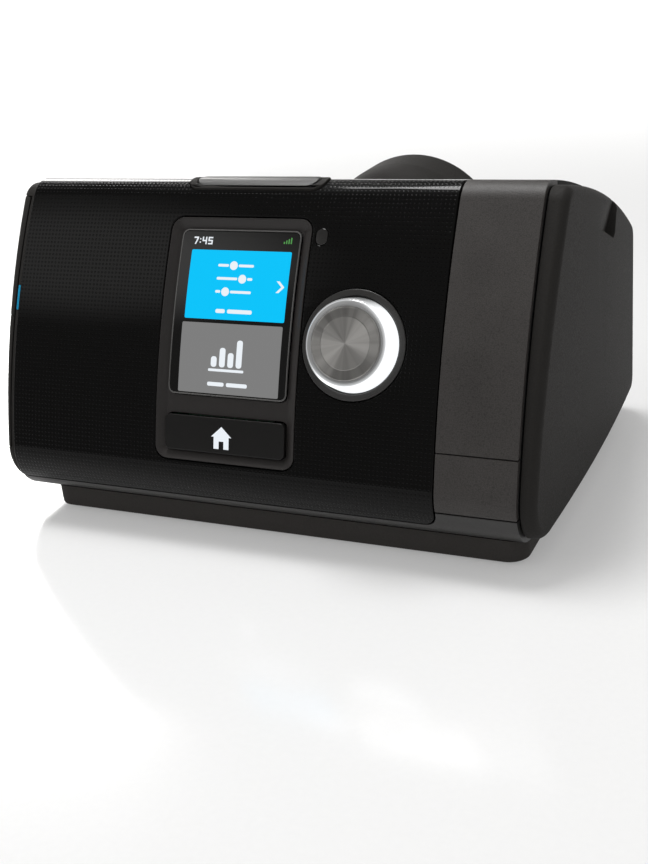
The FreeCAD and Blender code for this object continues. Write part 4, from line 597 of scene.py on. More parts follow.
class Paint(NodeTree):
    """Node tree of one material."""

    def __init__(self, name: str) -> None:
        """Start a material with a principled shader.

        Args:
            name: Name of the material.
        """
        self.material = bpy.data.materials.new(name)
        self.material.use_nodes = True
        super().__init__(self.material.node_tree)
        self.shader = self.add("ShaderNodeBsdfPrincipled")
        self.add("ShaderNodeOutputMaterial", {"Surface": self.shader.outputs["BSDF"]})

    def lay(self, **values: object) -> None:
        """Give sockets of the shader their values, with underscores for the spaces of their names."""
        for name, value in values.items():
            self.put(self.shader.inputs[name.replace("_", " ")], value)

    def place(self, axes: Optional[Axes] = None) -> Socket:
        """Coordinates in metres.

        Args:
            axes: Frame to measure in; the row frame if left out.

        Returns:
            A socket with the coordinates.
        """
        source = self.add("ShaderNodeTexCoord").outputs["Object"]
        if axes is None:
            return source
        inputs = {"Vector": source, "Location": axes.origin * MM, "Rotation": axes.turn().to_euler()}
        return self.add("ShaderNodeMapping", inputs, vector_type="TEXTURE").outputs["Vector"]

    def surface(self) -> Socket:
        """The piece's own UV coordinates."""
        return self.add("ShaderNodeUVMap", uv_map="surface").outputs["UV"]

    def noise(self, where: Socket, size: float, detail: float = 3.0) -> Socket:
        """Cloudy value from 0 to 1, with clouds of a size in mm and octaves of finer ones."""
        inputs = {"Vector": where, "Scale": 1 / (size * MM), "Detail": detail}
        return self.add("ShaderNodeTexNoise", inputs).outputs["Fac"]

    def cells(self, where: Socket, size: float) -> Socket:
        """Distance to the nearest of points scattered with a spacing in mm, for a pebbled grain."""
        inputs = {"Vector": where, "Scale": 1 / (size * MM)}
        return self.add("ShaderNodeTexVoronoi", inputs).outputs["Distance"]

    def grid_cell(self, pitch: float) -> Socket:
        """Place within the cell of a square grid on the piece's surface, from -0.5 to 0.5."""
        cell = self.vector("FRACTION", self.vector("MULTIPLY", self.surface(), (1 / (pitch * MM),) * 3))
        return self.vector("SUBTRACT", cell, (0.5, 0.5, 0.0))

    def blend(self, share: Socket, first: Sequence[float], second: Sequence[float]) -> Socket:
        """Colour between a first colour and, where the share is one, a second one."""
        inputs = {"Factor": share, "A": (*first, 1.0), "B": (*second, 1.0)}
        return self.add("ShaderNodeMix", inputs, data_type="RGBA").outputs["Result"]

    def tint(self, share: Socket, colour: Sequence[float], first: float, second: float) -> Socket:
        """Colour between two brightnesses of one colour, given as factors."""
        ends = ([min(1.0, part * factor) for part in colour] for factor in (first, second))
        return self.blend(share, *ends)

    def bump(self, height: Socket, depth: float, *sockets: str) -> None:
        """Raise the shading by a height.

        Args:
            height: Height from 0 to 1.
            depth: Depth of the relief in mm.
            sockets: Sockets of the shader that feel it; the normal alone if left out.
        """
        node = self.add("ShaderNodeBump", {"Distance": depth * MM, "Height": height})
        for name in sockets or ("Normal",):
            self.put(self.shader.inputs[name], node.outputs["Normal"])


class Modeller(NodeTree):
    """Geometry node tree that repeats a shape."""

    def __init__(self, name: str) -> None:
        """Start a tree with one geometry output.

        Args:
            name: Name of the piece that it makes.
        """
        super().__init__(bpy.data.node_groups.new(name, "GeometryNodeTree"))
        self.name = name
        self.sizes: dict[str, object] = {}
        for way in ("INPUT", "OUTPUT"):
            self.tree.interface.new_socket("Geometry", in_out=way, socket_type="NodeSocketGeometry")

    def size(self, name: str, value: object) -> Socket:
        """Add a named input to the tree.

        Args:
            name: Name of the input.
            value: Its value: a count, a number or three numbers.

        Returns:
            The socket that carries it.
        """
        kind = {int: "Int", float: "Float"}.get(type(value), "Vector")
        socket = self.tree.interface.new_socket(name, in_out="INPUT", socket_type="NodeSocket" + kind)
        self.sizes[socket.identifier] = value
        return self.add("NodeGroupInput").outputs[name]

    def moved(self, shape: Socket, name: str, place: Sequence[float] = (0.0, 0.0, 0.0),
              turn: Sequence[float] = (0.0, 0.0, 0.0)) -> Socket:
        """Move a shape by named inputs.

        Args:
            shape: Shape to move.
            name: Word that the names of the two inputs start with.
            place: Place in metres.
            turn: Turn about X, Y and Z in radians.

        Returns:
            A socket with the moved shape.
        """
        inputs = {"Geometry": shape, "Translation": self.size(name + " place", tuple(place)),
                  "Rotation": self.size(name + " turn", tuple(turn))}
        return self.add("GeometryNodeTransform", inputs).outputs[0]

    def make(self, geometry: Socket, material: Material) -> Piece:
        """Make a plain mesh of the finished geometry.

        Args:
            geometry: Finished geometry.
            material: Its material.

        Returns:
            The new object, without a modifier.
        """
        real = self.add("GeometryNodeRealizeInstances", {0: geometry})
        paint = self.add("GeometryNodeSetMaterial", {0: real.outputs[0], "Material": material})
        self.add("NodeGroupOutput", {0: paint.outputs[0]})
        thing = new_object(self.name, [Vector()], [])
        modifier = thing.modifiers.new("shape", "NODES")
        modifier.node_group = self.tree
        for identifier, value in self.sizes.items():
            modifier[identifier] = value
        return settle(thing)


@dataclass(frozen=True)
class Row:
    """Straight row of small blocks, in mm."""

    count: int
    first: Point3
    step: Point3
    block: Point3
    lean: float = 0.0
    growth: float = 0.0

    def make(self, name: str, material: Material, place: Sequence[float] = (0.0, 0.0, 0.0),
             turn: Sequence[float] = (0.0, 0.0, 0.0)) -> Piece:
        """Build the row.

        Args:
            name: Name of the piece.
            material: Its material.
            place: Place of the row's own frame in metres.
            turn: Turn of that frame in radians.

        Returns:
            The new object.
        """
        shape = Modeller(name)
        line = shape.add("GeometryNodeMeshLine", {
            "Count": shape.size("Count", self.count),
            "Start Location": shape.size("First", metres(self.first)),
            "Offset": shape.size("Step", metres(self.step))}, mode="OFFSET")
        block = shape.add("GeometryNodeMeshCube", {"Size": shape.size("Block", metres(self.block))})
        number = shape.add("GeometryNodeInputIndex").outputs[0]
        growth = shape.math("MULTIPLY_ADD", number, shape.size("Growth", self.growth), 1.0)
        blocks = shape.add("GeometryNodeInstanceOnPoints", {
            "Points": line.outputs["Mesh"],
            "Instance": block.outputs["Mesh"],
            "Rotation": shape.size("Lean", (self.lean, 0.0, 0.0)),
            "Scale": shape.add("ShaderNodeCombineXYZ", {"X": 1.0, "Y": growth, "Z": 1.0}).outputs[0]})
        return shape.make(shape.moved(blocks.outputs[0], "Row", place, turn), material)


@dataclass(frozen=True)
class ScrewGrid:
    """Four cross-headed screws at the corners of a rectangle, in mm."""

    span: Point2
    shank_length: float
    head_radius: float = 2.8
    head_height: float = 1.8
    shank_radius: float = 1.4
    overlap: float = 0.1
    sides: int = 40
    cross: Point3 = (3.4, 0.8, 2.2)

    def make(self, name: str, material: Material, place: Vector, turn: Sequence[float]) -> Piece:
        """Build the screws.

        Args:
            name: Name of the piece.
            material: Its material.
            place: Middle of the heads' tops in metres.
            turn: Turn in radians; the heads face the turned Z axis.

        Returns:
            The new object.
        """
        shape = Modeller(name)
        grid = shape.add("GeometryNodeMeshGrid", {"Vertices X": 2, "Vertices Y": 2})
        for side, size in zip("XY", metres(self.span)):
            shape.put(grid.inputs["Size " + side], shape.size("Span " + side, size))
        blank = self._bar(shape, "Head", (self.head_radius, self.head_height), 0.0)
        head = shape.add("GeometryNodeMeshBoolean", {"Mesh 1": blank}, operation="DIFFERENCE")
        for word, angle in (("Long slot", 0.0), ("Cross slot", math.pi / 2)):
            slot = shape.add("GeometryNodeMeshCube", {"Size": shape.size(word, metres(self.cross))})
            shape.put(head.inputs["Mesh 2"], shape.moved(slot.outputs["Mesh"], word, turn=(0.0, 0.0, angle)))
        shank = self._bar(shape, "Shank", (self.shank_radius, self.shank_length + self.overlap),
                          self.head_height - self.overlap)
        whole = shape.add("GeometryNodeJoinGeometry", {0: head.outputs["Mesh"]})
        shape.put(whole.inputs[0], shank)
        inputs = {"Points": grid.outputs["Mesh"], "Instance": whole.outputs[0]}
        screws = shape.add("GeometryNodeInstanceOnPoints", inputs)
        return shape.make(shape.moved(screws.outputs[0], "Set", place, turn), material)

    def _bar(self, shape: Modeller, word: str, size: Point2, drop: float) -> Socket:
        """Round bar whose top lies under the origin.

        Args:
            shape: Tree that it is built in.
            word: Word that the names of its inputs start with.
            size: Its radius and its length.
            drop: Depth of its top.

        Returns:
            A socket with the bar.
        """
        names = (word + " radius", word + " length")
        radius, length = (shape.size(name, value) for name, value in zip(names, metres(size)))
        inputs = {"Vertices": self.sides, "Radius": radius, "Depth": length}
        bar = shape.add("GeometryNodeMeshCylinder", inputs)
        return shape.moved(bar.outputs["Mesh"], word, (0.0, 0.0, (-drop - size[1] / 2) * MM))


# ---------------------------------------------------------------- finishes
class Finish(Protocol):
    """Finish of a surface."""

    def make(self) -> Material:
        """Build the material."""


@dataclass(frozen=True)
class MouldedPlastic:
    """Moulded plastic with a fine pebbled grain and broad faint clouds."""

    name: str
    colour: Point3
    roughness: float = 0.64
    grain: float = 0.55
    relief: float = 0.030
    mottle: float = 0.14
    specular: float = 0.09
    cloud: float = 22.0
    tone_share: float = 0.55
    fine: float = 0.8
    fine_relief: float = 0.5
    swing: float = 0.12

    def make(self) -> Material:
        """Build the material."""
        paint = Paint(self.name)
        where = paint.place()
        pebble = paint.cells(where, self.grain)
        fine = paint.noise(where, self.grain * self.fine, detail=2.0)
        broad = paint.math("MULTIPLY", paint.noise(where, self.cloud), self.tone_share)
        tone = paint.math("MULTIPLY_ADD", pebble, self.tone_share, broad)
        smooth, rough = self.roughness * (1 - self.swing), min(1.0, self.roughness * (1 + self.swing))
        paint.lay(Base_Color=paint.tint(tone, self.colour, 1 + self.mottle, 1 - self.mottle),
                  Roughness=paint.spread(fine, smooth, rough, *NOISE_BAND),
                  Specular_IOR_Level=self.specular)
        paint.bump(paint.math("MULTIPLY_ADD", fine, self.fine_relief, pebble), self.relief)
        return paint.material


@dataclass(frozen=True)
class PianoGloss:
    """Polished black plastic, with a grid of fine pits where it has a pitch; the pits get painted shade for
    the sheen that they miss.
    """

    name: str
    colour: Point3 = (0.0032, 0.0031, 0.0030)
    painted_pit_shade: Point3 = (0.0012, 0.0011, 0.0011)
    pitch: float = 0.0
    dot: float = 0.27
    dot_core: float = 0.55
    pit_depth: float = 0.05
    roughness: float = 0.35
    coat_roughness: float = 0.05
    coat_ior: float = 1.22
    cloud: float = 30.0
    cloud_tone: float = 1.6
    cloud_roughness: Point2 = (1.15, 1.3)

    def make(self) -> Material:
        """Build the material."""
        paint = Paint(self.name)
        haze = paint.noise(paint.place(), self.cloud)
        if self.pitch:
            distance = paint.vector("LENGTH", paint.grid_cell(self.pitch))
            pit = paint.spread(distance, 1.0, 0.0, self.dot * self.dot_core, self.dot)
            # Painted shade: the pits are darker than the ground, standing in for the sheen that they don't
            # catch.
            paint.lay(Base_Color=paint.blend(pit, self.colour, self.painted_pit_shade),
                      Roughness=paint.spread(haze, self.roughness, self.roughness * self.cloud_roughness[0]))
            paint.bump(paint.math("SUBTRACT", 1.0, pit), self.pit_depth, "Normal", "Coat Normal")
        else:
            paint.lay(Base_Color=paint.tint(haze, self.colour, 1.0, self.cloud_tone),
                      Roughness=paint.spread(haze, self.roughness, self.roughness * self.cloud_roughness[1]))
        paint.lay(Coat_Weight=1.0, Coat_Roughness=self.coat_roughness, Coat_IOR=self.coat_ior,
                  Specular_IOR_Level=0.02)
        return paint.material


@dataclass(frozen=True)
class PaintedGlowPlastic:
    """Milky plastic ring with painted light: emission brightest at its foot and on one side, and a painted
    highlight line round it; bands in mm.
    """

    name: str
    axes: Axes
    colour: Point3 = (0.70, 0.70, 0.70)
    painted_glow: float = 0.95
    painted_dim_glow: float = 0.06
    painted_dim_side: float = 0.06
    painted_rim_fade_band: Point2 = (5.5, 6.15)
    painted_side_band: Point2 = (-6.75, 3.75)
    painted_bright_side: Point2 = (0.80, -0.60)
    painted_line_radius: float = 13.8
    painted_line_glow: float = 0.28
    painted_line_band: Point2 = (0.04, 0.26)
    painted_dim_tone: float = 0.34
    cloud: float = 6.0
    roughness: Point2 = (0.16, 0.24)
    ripple: float = 0.5
    relief: float = 0.002

    def make(self) -> Material:
        """Build the material."""
        paint = Paint(self.name)
        local = paint.place(self.axes)
        # Painted light: the emission and the base colour fade towards the rim and towards one side, and a
        # painted highlight line runs round the ring.
        height = paint.spread(paint.parts(local)["Z"], 1.0, 0.0, *metres(self.painted_rim_fade_band))
        towards = paint.vector("DOT_PRODUCT", local, (*self.painted_bright_side, 0.0))
        side = paint.spread(towards, self.painted_dim_side, 1.0, *metres(self.painted_side_band))
        painted_lit = paint.math("MULTIPLY", height, side)
        radius = paint.vector("LENGTH", paint.vector("MULTIPLY", local, (1.0, 1.0, 0.0)))
        away = paint.math("ABSOLUTE", paint.math("SUBTRACT", radius, self.painted_line_radius * MM))
        line = paint.spread(away, self.painted_line_glow, 0.0, *metres(self.painted_line_band))
        painted_glow = paint.math("ADD", line, paint.math("MULTIPLY_ADD", painted_lit, self.painted_glow, self.painted_dim_glow))
        paint.lay(Base_Color=paint.tint(painted_lit, self.colour, self.painted_dim_tone, 1.0),
                  Emission_Strength=painted_glow, Emission_Color=(0.95, 0.98, 1.0, 1.0),
                  Roughness=paint.spread(paint.noise(local, self.cloud, detail=2.0), *self.roughness),
                  Coat_Weight=0.3, Coat_Roughness=0.05)
        paint.bump(paint.noise(local, self.ripple, detail=2.0), self.relief)
        return paint.material


@dataclass(frozen=True)
class SpunMetal:
    """Metal turned on a lathe, with fine circular marks, a paler middle and a painted reflection of pale
    wedges that wavers round the axis.
    """

    name: str
    axes: Axes
    colour: Point3 = (0.40, 0.392, 0.380)
    roughness: float = 0.34
    anisotropy: float = 0.80
    disc_band: Point2 = (8.3, 8.7)
    disc_tone: float = 0.45
    tones: Point2 = (0.62, 1.45)
    swing: float = 0.08
    mark: float = 0.10
    mark_tone: float = 0.12
    relief: float = 0.0008
    painted_wedge: Point2 = (0.90, 0.44)
    painted_wedge_tone: float = 0.30
    painted_wedge_band: Point2 = (0.62, 1.0)
    painted_waver: float = 350.0
    painted_waver_band: Point2 = (0.35, 0.65)

    def make(self) -> Material:
        """Build the material."""
        paint = Paint(self.name)
        radius = paint.parts(paint.surface())["Y"]
        rings = paint.noise(paint.add("ShaderNodeCombineXYZ", {"X": radius}).outputs[0], self.mark)
        middle = paint.spread(radius, self.disc_tone, 0.0, *metres(self.disc_band))
        # Painted reflection: pale wedges added to the tone.
        base = paint.math("ADD", middle, self._painted_wedges(paint))
        tone = paint.math("MULTIPLY_ADD", rings, self.mark_tone, base)
        way = paint.add("ShaderNodeTangent", direction_type="UV_MAP", uv_map="surface").outputs[0]
        smooth, rough = self.roughness * (1 - self.swing), self.roughness * (1 + self.swing)
        paint.lay(Base_Color=paint.tint(tone, self.colour, *self.tones),
                  Roughness=paint.spread(rings, smooth, rough, *NOISE_BAND),
                  Tangent=way, Metallic=1.0, Anisotropic=self.anisotropy)
        paint.bump(rings, self.relief)
        return paint.material

    def _painted_wedges(self, paint: Paint) -> Socket:
        """Painted reflection: tone that is greatest in two opposite wedges and wavers round the axis.

        Args:
            paint: Material that it is for.

        Returns:
            A socket with the tone.
        """
        flat = paint.vector("MULTIPLY", paint.place(self.axes), (1.0, 1.0, 0.0))
        way = paint.vector("NORMALIZE", flat)
        along = paint.math("ABSOLUTE", paint.vector("DOT_PRODUCT", way, (*self.painted_wedge, 0.0)))
        painted_waver = paint.spread(paint.noise(way, self.painted_waver), 0.0, self.painted_wedge_tone, *self.painted_waver_band)
        return paint.math("ADD", paint.spread(along, 0.0, self.painted_wedge_tone, *self.painted_wedge_band), painted_waver)


@dataclass(frozen=True)
class Metal:
    """Plain metal with fine scratches along one way."""

    name: str
    colour: Point3 = (0.56, 0.56, 0.57)
    tones: Point2 = (0.9, 1.1)
    roughness: Point2 = (0.256, 0.416)
    stretch: Point3 = (0.05, 1.0, 1.0)
    scratch: float = 0.12
    relief: float = 0.003

    def make(self) -> Material:
        """Build the material."""
        paint = Paint(self.name)
        lines = paint.noise(paint.vector("MULTIPLY", paint.place(), self.stretch), self.scratch)
        paint.lay(Base_Color=paint.tint(lines, self.colour, *self.tones),
                  Roughness=paint.spread(lines, *self.roughness), Metallic=1.0)
        paint.bump(lines, self.relief)
        return paint.material


@dataclass(frozen=True)
class ClearPlastic:
    """Clear hard plastic with a faint film."""

    name: str
    colour: Point3
    roughness: float
    ior: float
    film: float = 12.0
    film_roughness: float = 0.02
    film_band: Point2 = (0.45, 0.8)

    def make(self) -> Material:
        """Build the material."""
        paint = Paint(self.name)
        film, rough = paint.noise(paint.place(), self.film), self.roughness + self.film_roughness
        paint.lay(Roughness=paint.spread(film, self.roughness, rough, *self.film_band),
                  Base_Color=(*self.colour, 1.0), Transmission_Weight=1.0, IOR=self.ior)
        return paint.material


@dataclass(frozen=True)
class ScreenInk:
    """Lit pixels of the display in one colour."""

    name: str
    colour: Point3
    strength: float = 1.0
    pixel: float = 0.16
    seam_tone: float = 0.9
    seam_band: Point2 = (0.38, 0.5)

    def make(self) -> Material:
        """Build the material."""
        paint = Paint(self.name)
        cell = paint.parts(paint.vector("ABSOLUTE", paint.grid_cell(self.pixel)))
        seam = paint.math("MAXIMUM", cell["X"], cell["Y"])
        dim = self.strength * self.seam_tone
        paint.lay(Emission_Strength=paint.spread(seam, self.strength, dim, *self.seam_band),
                  Emission_Color=(*self.colour, 1.0), Base_Color=(0.004, 0.004, 0.004, 1.0),
                  Roughness=0.5, Specular_IOR_Level=0.05)
        return paint.material


@dataclass(frozen=True)
class SoftRubber:
    """Matt rubber with a powdery bloom."""

    name: str
    colour: Point3 = (0.022, 0.022, 0.024)
    bloom: float = 3.0
    bloom_tone: float = 1.7
    grain: float = 0.4
    relief: float = 0.02

    def make(self) -> Material:
        """Build the material."""
        paint = Paint(self.name)
        where = paint.place()
        bloom = paint.noise(where, self.bloom, detail=4.0)
        paint.lay(Base_Color=paint.tint(bloom, self.colour, 1.0, self.bloom_tone),
                  Roughness=0.85, Specular_IOR_Level=0.3, Sheen_Weight=0.15)
        paint.bump(paint.noise(where, self.grain), self.relief)
        return paint.material


@dataclass(frozen=True)
class OpenFoam:
    """Open-celled foam or filter felt, with painted shade in the hollows of its cells."""

    name: str
    colour: Point3
    cell: float = 0.9
    hollow_painted_shade: float = 0.4
    relief: float = 0.3

    def make(self) -> Material:
        """Build the material."""
        paint = Paint(self.name)
        holes = paint.cells(paint.place(), self.cell)
        # Painted shade: darker towards the middle of each cell, where the bump sinks.
        paint.lay(Base_Color=paint.tint(holes, self.colour, self.hollow_painted_shade, 1.0),
                  Roughness=0.95, Sheen_Weight=0.3)
        paint.bump(holes, self.relief)
        return paint.material


@dataclass(frozen=True)
class CircuitBoard:
    """Green solder mask over copper tracks."""

    name: str
    colour: Point3 = (0.01, 0.10, 0.035)
    track_pitch: float = 9.0
    track_gap: float = 0.03
    track_tone: float = 2.2
    relief: float = 0.03

    def make(self) -> Material:
        """Build the material."""
        paint = Paint(self.name)
        scale = 1 / (self.track_pitch * MM)
        inputs = {"Vector": paint.place(), "Scale": scale, "Mortar Size": self.track_gap}
        tracks = paint.add("ShaderNodeTexBrick", inputs).outputs["Fac"]
        paint.lay(Base_Color=paint.tint(tracks, self.colour, 1.0, self.track_tone),
                  Roughness=0.35, Coat_Weight=0.4)
        paint.bump(tracks, self.relief)
        return paint.material


def dress(thing: Piece, body: Body, slot: Slot, material: Material, replaces: Sequence[str] = ()) -> Piece:
    """Give a finished piece its material, its body and the nodes that it stands for.

    Args:
        thing: The piece.
        body: Body that it rides on.
        slot: Not used.
        material: Its material.
        replaces: Nodes of the frame that it replaces.

    Returns:
        The piece.
    """
    thing.data.materials.clear()
    thing.data.materials.append(material)
    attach(thing, body.value)
    if replaces:
        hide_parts(*replaces)
    log.info("%s: %d faces, rides on %s", thing.name, len(thing.data.polygons), body.value)
    return thing


def refit(node: str, name: str, body: Body, slot: Slot, material: Material, edge: float,
          segments: int = 2) -> Piece:
    """Replace a node by a dressed copy of it with rounded edges."""
    return dress(refined(node, name, edge, segments), body, slot, material, (node,))


# ---------------------------------------------------------------- the machine's own frames
PROFILE = SideProfile()
RIGHTWARD = Vector((1.0, 0.0, 0.0))
SCREEN_X = -7.75
DIAL_CENTRE = (38.1, 69.9)
CUT_SPACING = 1.5


def front_axes(x: float, level: float) -> Axes:
    """Local frame on the bowed front.

    Args:
        x: Place across the machine in mm.
        level: Height over the ground in mm.

    Returns:
        Frame whose outward direction is square to the surface.
    """
    rise = PROFILE.rise_at_level(level)
    origin = PROFILE.at(rise, 0.0)
    origin.x = x
    out = PROFILE.out_at(rise)
    return Axes(origin, RIGHTWARD, out.cross(RIGHTWARD), out)


def front_map(depth: SurfaceMap) -> SurfaceMap:
    """Map from screen coordinates to places behind the bowed surface.

    Args:
        depth: Depth behind the surface as a function of u and v, in mm.

    Returns:
        A function of u and v that gives metres.
    """
    def place(u: float, v: float) -> Vector:
        """Place in metres."""
        point = PROFILE.at(v, depth(u, v))
        return Vector((SCREEN_X + u, point.y, point.z)) * MM
    return place


def front_plate(name: str, loops: Sequence[Loop], front: float, back: float) -> Piece:
    """Thin plate that follows the bowed front.

    Args:
        name: Name of the piece.
        loops: Outlines in screen coordinates.
        front: Depth of its front in mm.
        back: Depth of its back in mm.

    Returns:
        The plate.
    """
    levels = [v for loop in loops for _, v in loop]
    lines = np.arange(math.ceil(min(levels)) + 0.5, max(levels), CUT_SPACING)
    points, faces = filled_region(loops, lines)
    return closed_plate(name, points, faces, front_map(lambda u, v: front), front_map(lambda u, v: back))


DIAL_AXES = front_axes(*DIAL_CENTRE)
SCREEN_AXES = front_axes(SCREEN_X, PROFILE.screen_level)


def built(finish: Finish) -> Material:
    """Field of a dataclass that holds a finish as a material."""
    return field(default_factory=finish.make)


@dataclass(frozen=True)
class Finishes:
    """Every finish of the machine, built once."""

    case: Material = built(MouldedPlastic("case_plastic", (0.0295, 0.0279, 0.0264)))
    strip: Material = built(MouldedPlastic("strip_plastic", (0.057, 0.0525, 0.050), roughness=0.5, grain=0.42,
                                           mottle=0.50, specular=0.34))
    trim: Material = built(MouldedPlastic("trim_plastic", (0.030, 0.029, 0.028), roughness=0.40, relief=0.012,
                                          specular=0.5))
    dots: Material = built(PianoGloss("fascia_gloss_dots", pitch=1.465))
    gloss: Material = built(PianoGloss("lens_gloss", roughness=0.12, coat_ior=1.35))
    rim: Material = built(MouldedPlastic("lens_rim", (0.11, 0.108, 0.106), roughness=0.22, grain=0.3,
                                         relief=0.002, specular=0.7))
    sensor: Material = built(PianoGloss("sensor_gloss", (0.012, 0.0115, 0.011), roughness=0.2, coat_ior=1.5))
    # Painted light: the plinth is lighter than the case, standing in for light bounced up from the floor.
    plinth: Material = built(MouldedPlastic("plinth_plastic_painted_bounce", (0.062, 0.058, 0.055)))
    tray: Material = built(MouldedPlastic("tray_plastic", (0.034, 0.031, 0.030), roughness=0.42, grain=0.35,
                                          relief=0.010, specular=0.3))
    key: Material = built(MouldedPlastic("key_plastic", (0.0085, 0.008, 0.0077), roughness=0.40, grain=0.3,
                                         relief=0.005, specular=0.25))
    button: Material = built(MouldedPlastic("button_plastic", (0.034, 0.033, 0.032), roughness=0.36,
                                            grain=0.3, relief=0.0006, mottle=0.05, specular=0.6))
    # The skirt's emission is painted light, brighter on one side.
    skirt: Material = built(PaintedGlowPlastic("dial_skirt_painted_glow", DIAL_AXES))
    face: Material = built(SpunMetal("dial_spun_metal", DIAL_AXES))
    steel: Material = built(Metal("steel_parts"))
    inner: Material = built(MouldedPlastic("inner_plastic", (0.045, 0.045, 0.047), roughness=0.6))
    pale: Material = built(MouldedPlastic("blower_plastic", (0.55, 0.56, 0.55), roughness=0.45))
    tub: Material = built(ClearPlastic("tub_clear", (0.93, 0.97, 0.99), roughness=0.03, ior=1.49))
    rubber: Material = built(SoftRubber("feet_rubber"))
    foam: Material = built(OpenFoam("muffler_foam", (0.10, 0.10, 0.11)))
    felt: Material = built(OpenFoam("filter_felt", (0.75, 0.76, 0.76), cell=0.5))
    board: Material = built(CircuitBoard("board_mask"))
    chip: Material = built(MouldedPlastic("chip_resin", (0.012, 0.012, 0.013), roughness=0.4))
    mark: Material = built(MouldedPlastic("mark_blue", (0.010, 0.33, 0.60), roughness=0.4, relief=0.004))
    white_ink: Material = built(ScreenInk("screen_white", (0.90, 0.95, 1.0), 0.95))
    blue_ink: Material = built(ScreenInk("screen_blue", (0.0, 0.56, 0.98)))
    grey_ink: Material = built(ScreenInk("screen_grey", (0.21, 0.21, 0.21)))
    green_ink: Material = built(ScreenInk("screen_green", (0.10, 0.36, 0.09), 0.9))


# ---------------------------------------------------------------- sub-assemblies
@dataclass
class Housing:
    """Moulded shells, covers and doors of the outside."""

    finishes: Finishes
    edge: float = 0.35
    door_edge: float = 0.25
    pipe_edge: float = 0.3
    mark_edge: float = 0.12
    tab_edge: float = 0.08
    tab_u: Point2 = (-89.75, -88.6)
    tab_levels: Point2 = (74.8, 82.9)
    tab_corner: float = 0.4
    tab_depth: Point2 = (1.40, 1.9)
    window_centre: Point2 = (-3.9, 12.3)
    window_half: Point2 = (6.5, 1.6)
    window_depth: Point2 = (-0.06, 0.6)

    def build(self) -> None:
        """Refine and dress each shell, and add its small marks."""
        looks = self.finishes
        shells = (
            ("upper_case", "upper_shell", Body.ROOT, Slot.CASE, looks.case, self.edge),
            ("lower_case", "lower_shell", Body.ROOT, Slot.CASE, looks.trim, self.edge),
            ("left_side_cover", "left_cover", Body.ROOT, Slot.CASE, looks.case, self.edge),
            ("tub_end_cover", "tub_cover", Body.TUB, Slot.CASE, looks.case, self.edge),
            ("card_cover", "card_door", Body.CARD_DOOR, Slot.CASE, looks.case, self.door_edge),
            ("adapter_cover", "adapter_door", Body.ADAPTER_DOOR, Slot.CASE, looks.case, self.door_edge),
            ("base_plinth", "plinth", Body.ROOT, Slot.CASE, looks.plinth, self.edge),
            ("start_surround", "start_collar", Body.ROOT, Slot.CASE, looks.case, self.pipe_edge),
            ("strip_panel", "front_strip", Body.ROOT, Slot.STRIP, looks.strip, self.door_edge),
            ("lower_plate", "front_plate", Body.ROOT, Slot.STRIP, looks.strip, self.door_edge),
            ("outlet_connector", "outlet_pipe", Body.ROOT, Slot.INNER, looks.trim, self.pipe_edge),
            ("rubber_feet", "feet", Body.ROOT, Slot.RUBBER, looks.rubber, self.door_edge),
        )
        for shell in shells:
            refit(*shell)
        self._blue_mark()
        self._trim_window()

    def _blue_mark(self) -> None:
        """Small blue tab on the front band of the left cover."""
        low, high = (PROFILE.rise_at_level(level) for level in self.tab_levels)
        outline = rounded_loop(self.tab_u, (low, high), self.tab_corner, 4)
        tab = soften(front_plate("cover_tab", [outline], *self.tab_depth), self.tab_edge)
        dress(tab, Body.ROOT, Slot.CASE, self.finishes.mark)

    def _trim_window(self) -> None:
        """Dark oval window in the trim under the front panel."""
        centre = (self.window_centre[0], PROFILE.rise_at_level(self.window_centre[1]))
        outline = oval_loop(centre, self.window_half)
        window = soften(front_plate("trim_window", [outline], *self.window_depth), self.mark_edge)
        dress(window, Body.ROOT, Slot.CASE, self.finishes.trim)


@dataclass
class Rear:
    """Slats of the filter door, wire clip with its ribs, power jack and the screws of base and board."""

    finishes: Finishes
    slats: Row = Row(count=7, first=(-61.0, 68.9, 39.0), step=(0.0, 0.0, 3.0), block=(42.2, 2.0, 0.45),
                     lean=math.radians(-35.0))
    ribs: Row = Row(count=6, first=(2.0, 72.3, 20.9), step=(0.0, 0.0, 1.3), block=(7.6, 0.5, 0.5),
                    lean=math.radians(45.0))
    base_screws: ScrewGrid = ScrewGrid(span=(165.0, 80.0), shank_length=10.0)
    board_screws: ScrewGrid = ScrewGrid(span=(36.4, 58.0), shank_length=6.6)
    base_middle: Point3 = (3.0, 0.0, 1.4)
    board_middle: Point3 = (-47.8, 0.0, -15.0)
    bar_edge: float = 0.08
    screw_edge: float = 0.12
    clip_edge: float = 0.25
    jack_edge: float = 0.15

    def build(self) -> None:
        """Build and dress the pieces."""
        looks = self.finishes
        slats = soften(self.slats.make("filter_slats", looks.case), self.bar_edge)
        dress(slats, Body.FILTER_DOOR, Slot.CASE, looks.case)
        refit("cable_clip", "wire_clip", Body.CLIP, Slot.CASE, looks.case, self.clip_edge)
        ribs = soften(self.ribs.make("wire_clip_ribs", looks.case), self.bar_edge)
        dress(ribs, Body.CLIP, Slot.CASE, looks.case)
        refit("power_inlet", "power_jack", Body.ROOT, Slot.INNER, looks.inner, self.jack_edge)
        dress(self._screws(), Body.ROOT, Slot.STEEL, looks.steel, replaces=("machine_screws",))

    def _screws(self) -> Piece:
        """Cross-headed screws of the base and of the main board."""
        steel = self.finishes.steel
        base = self.base_screws.make("base_screws", steel, Vector(self.base_middle) * MM, (math.pi, 0.0, 0.0))
        inward = Matrix((SCREEN_AXES.right, -SCREEN_AXES.up, -SCREEN_AXES.out)).transposed()
        board = self.board_screws.make("board_screws", steel, SCREEN_AXES.point(*self.board_middle),
                                       inward.to_euler())
        return soften(joined("case_screws", (base, board)), self.screw_edge, inside="machine_screws")


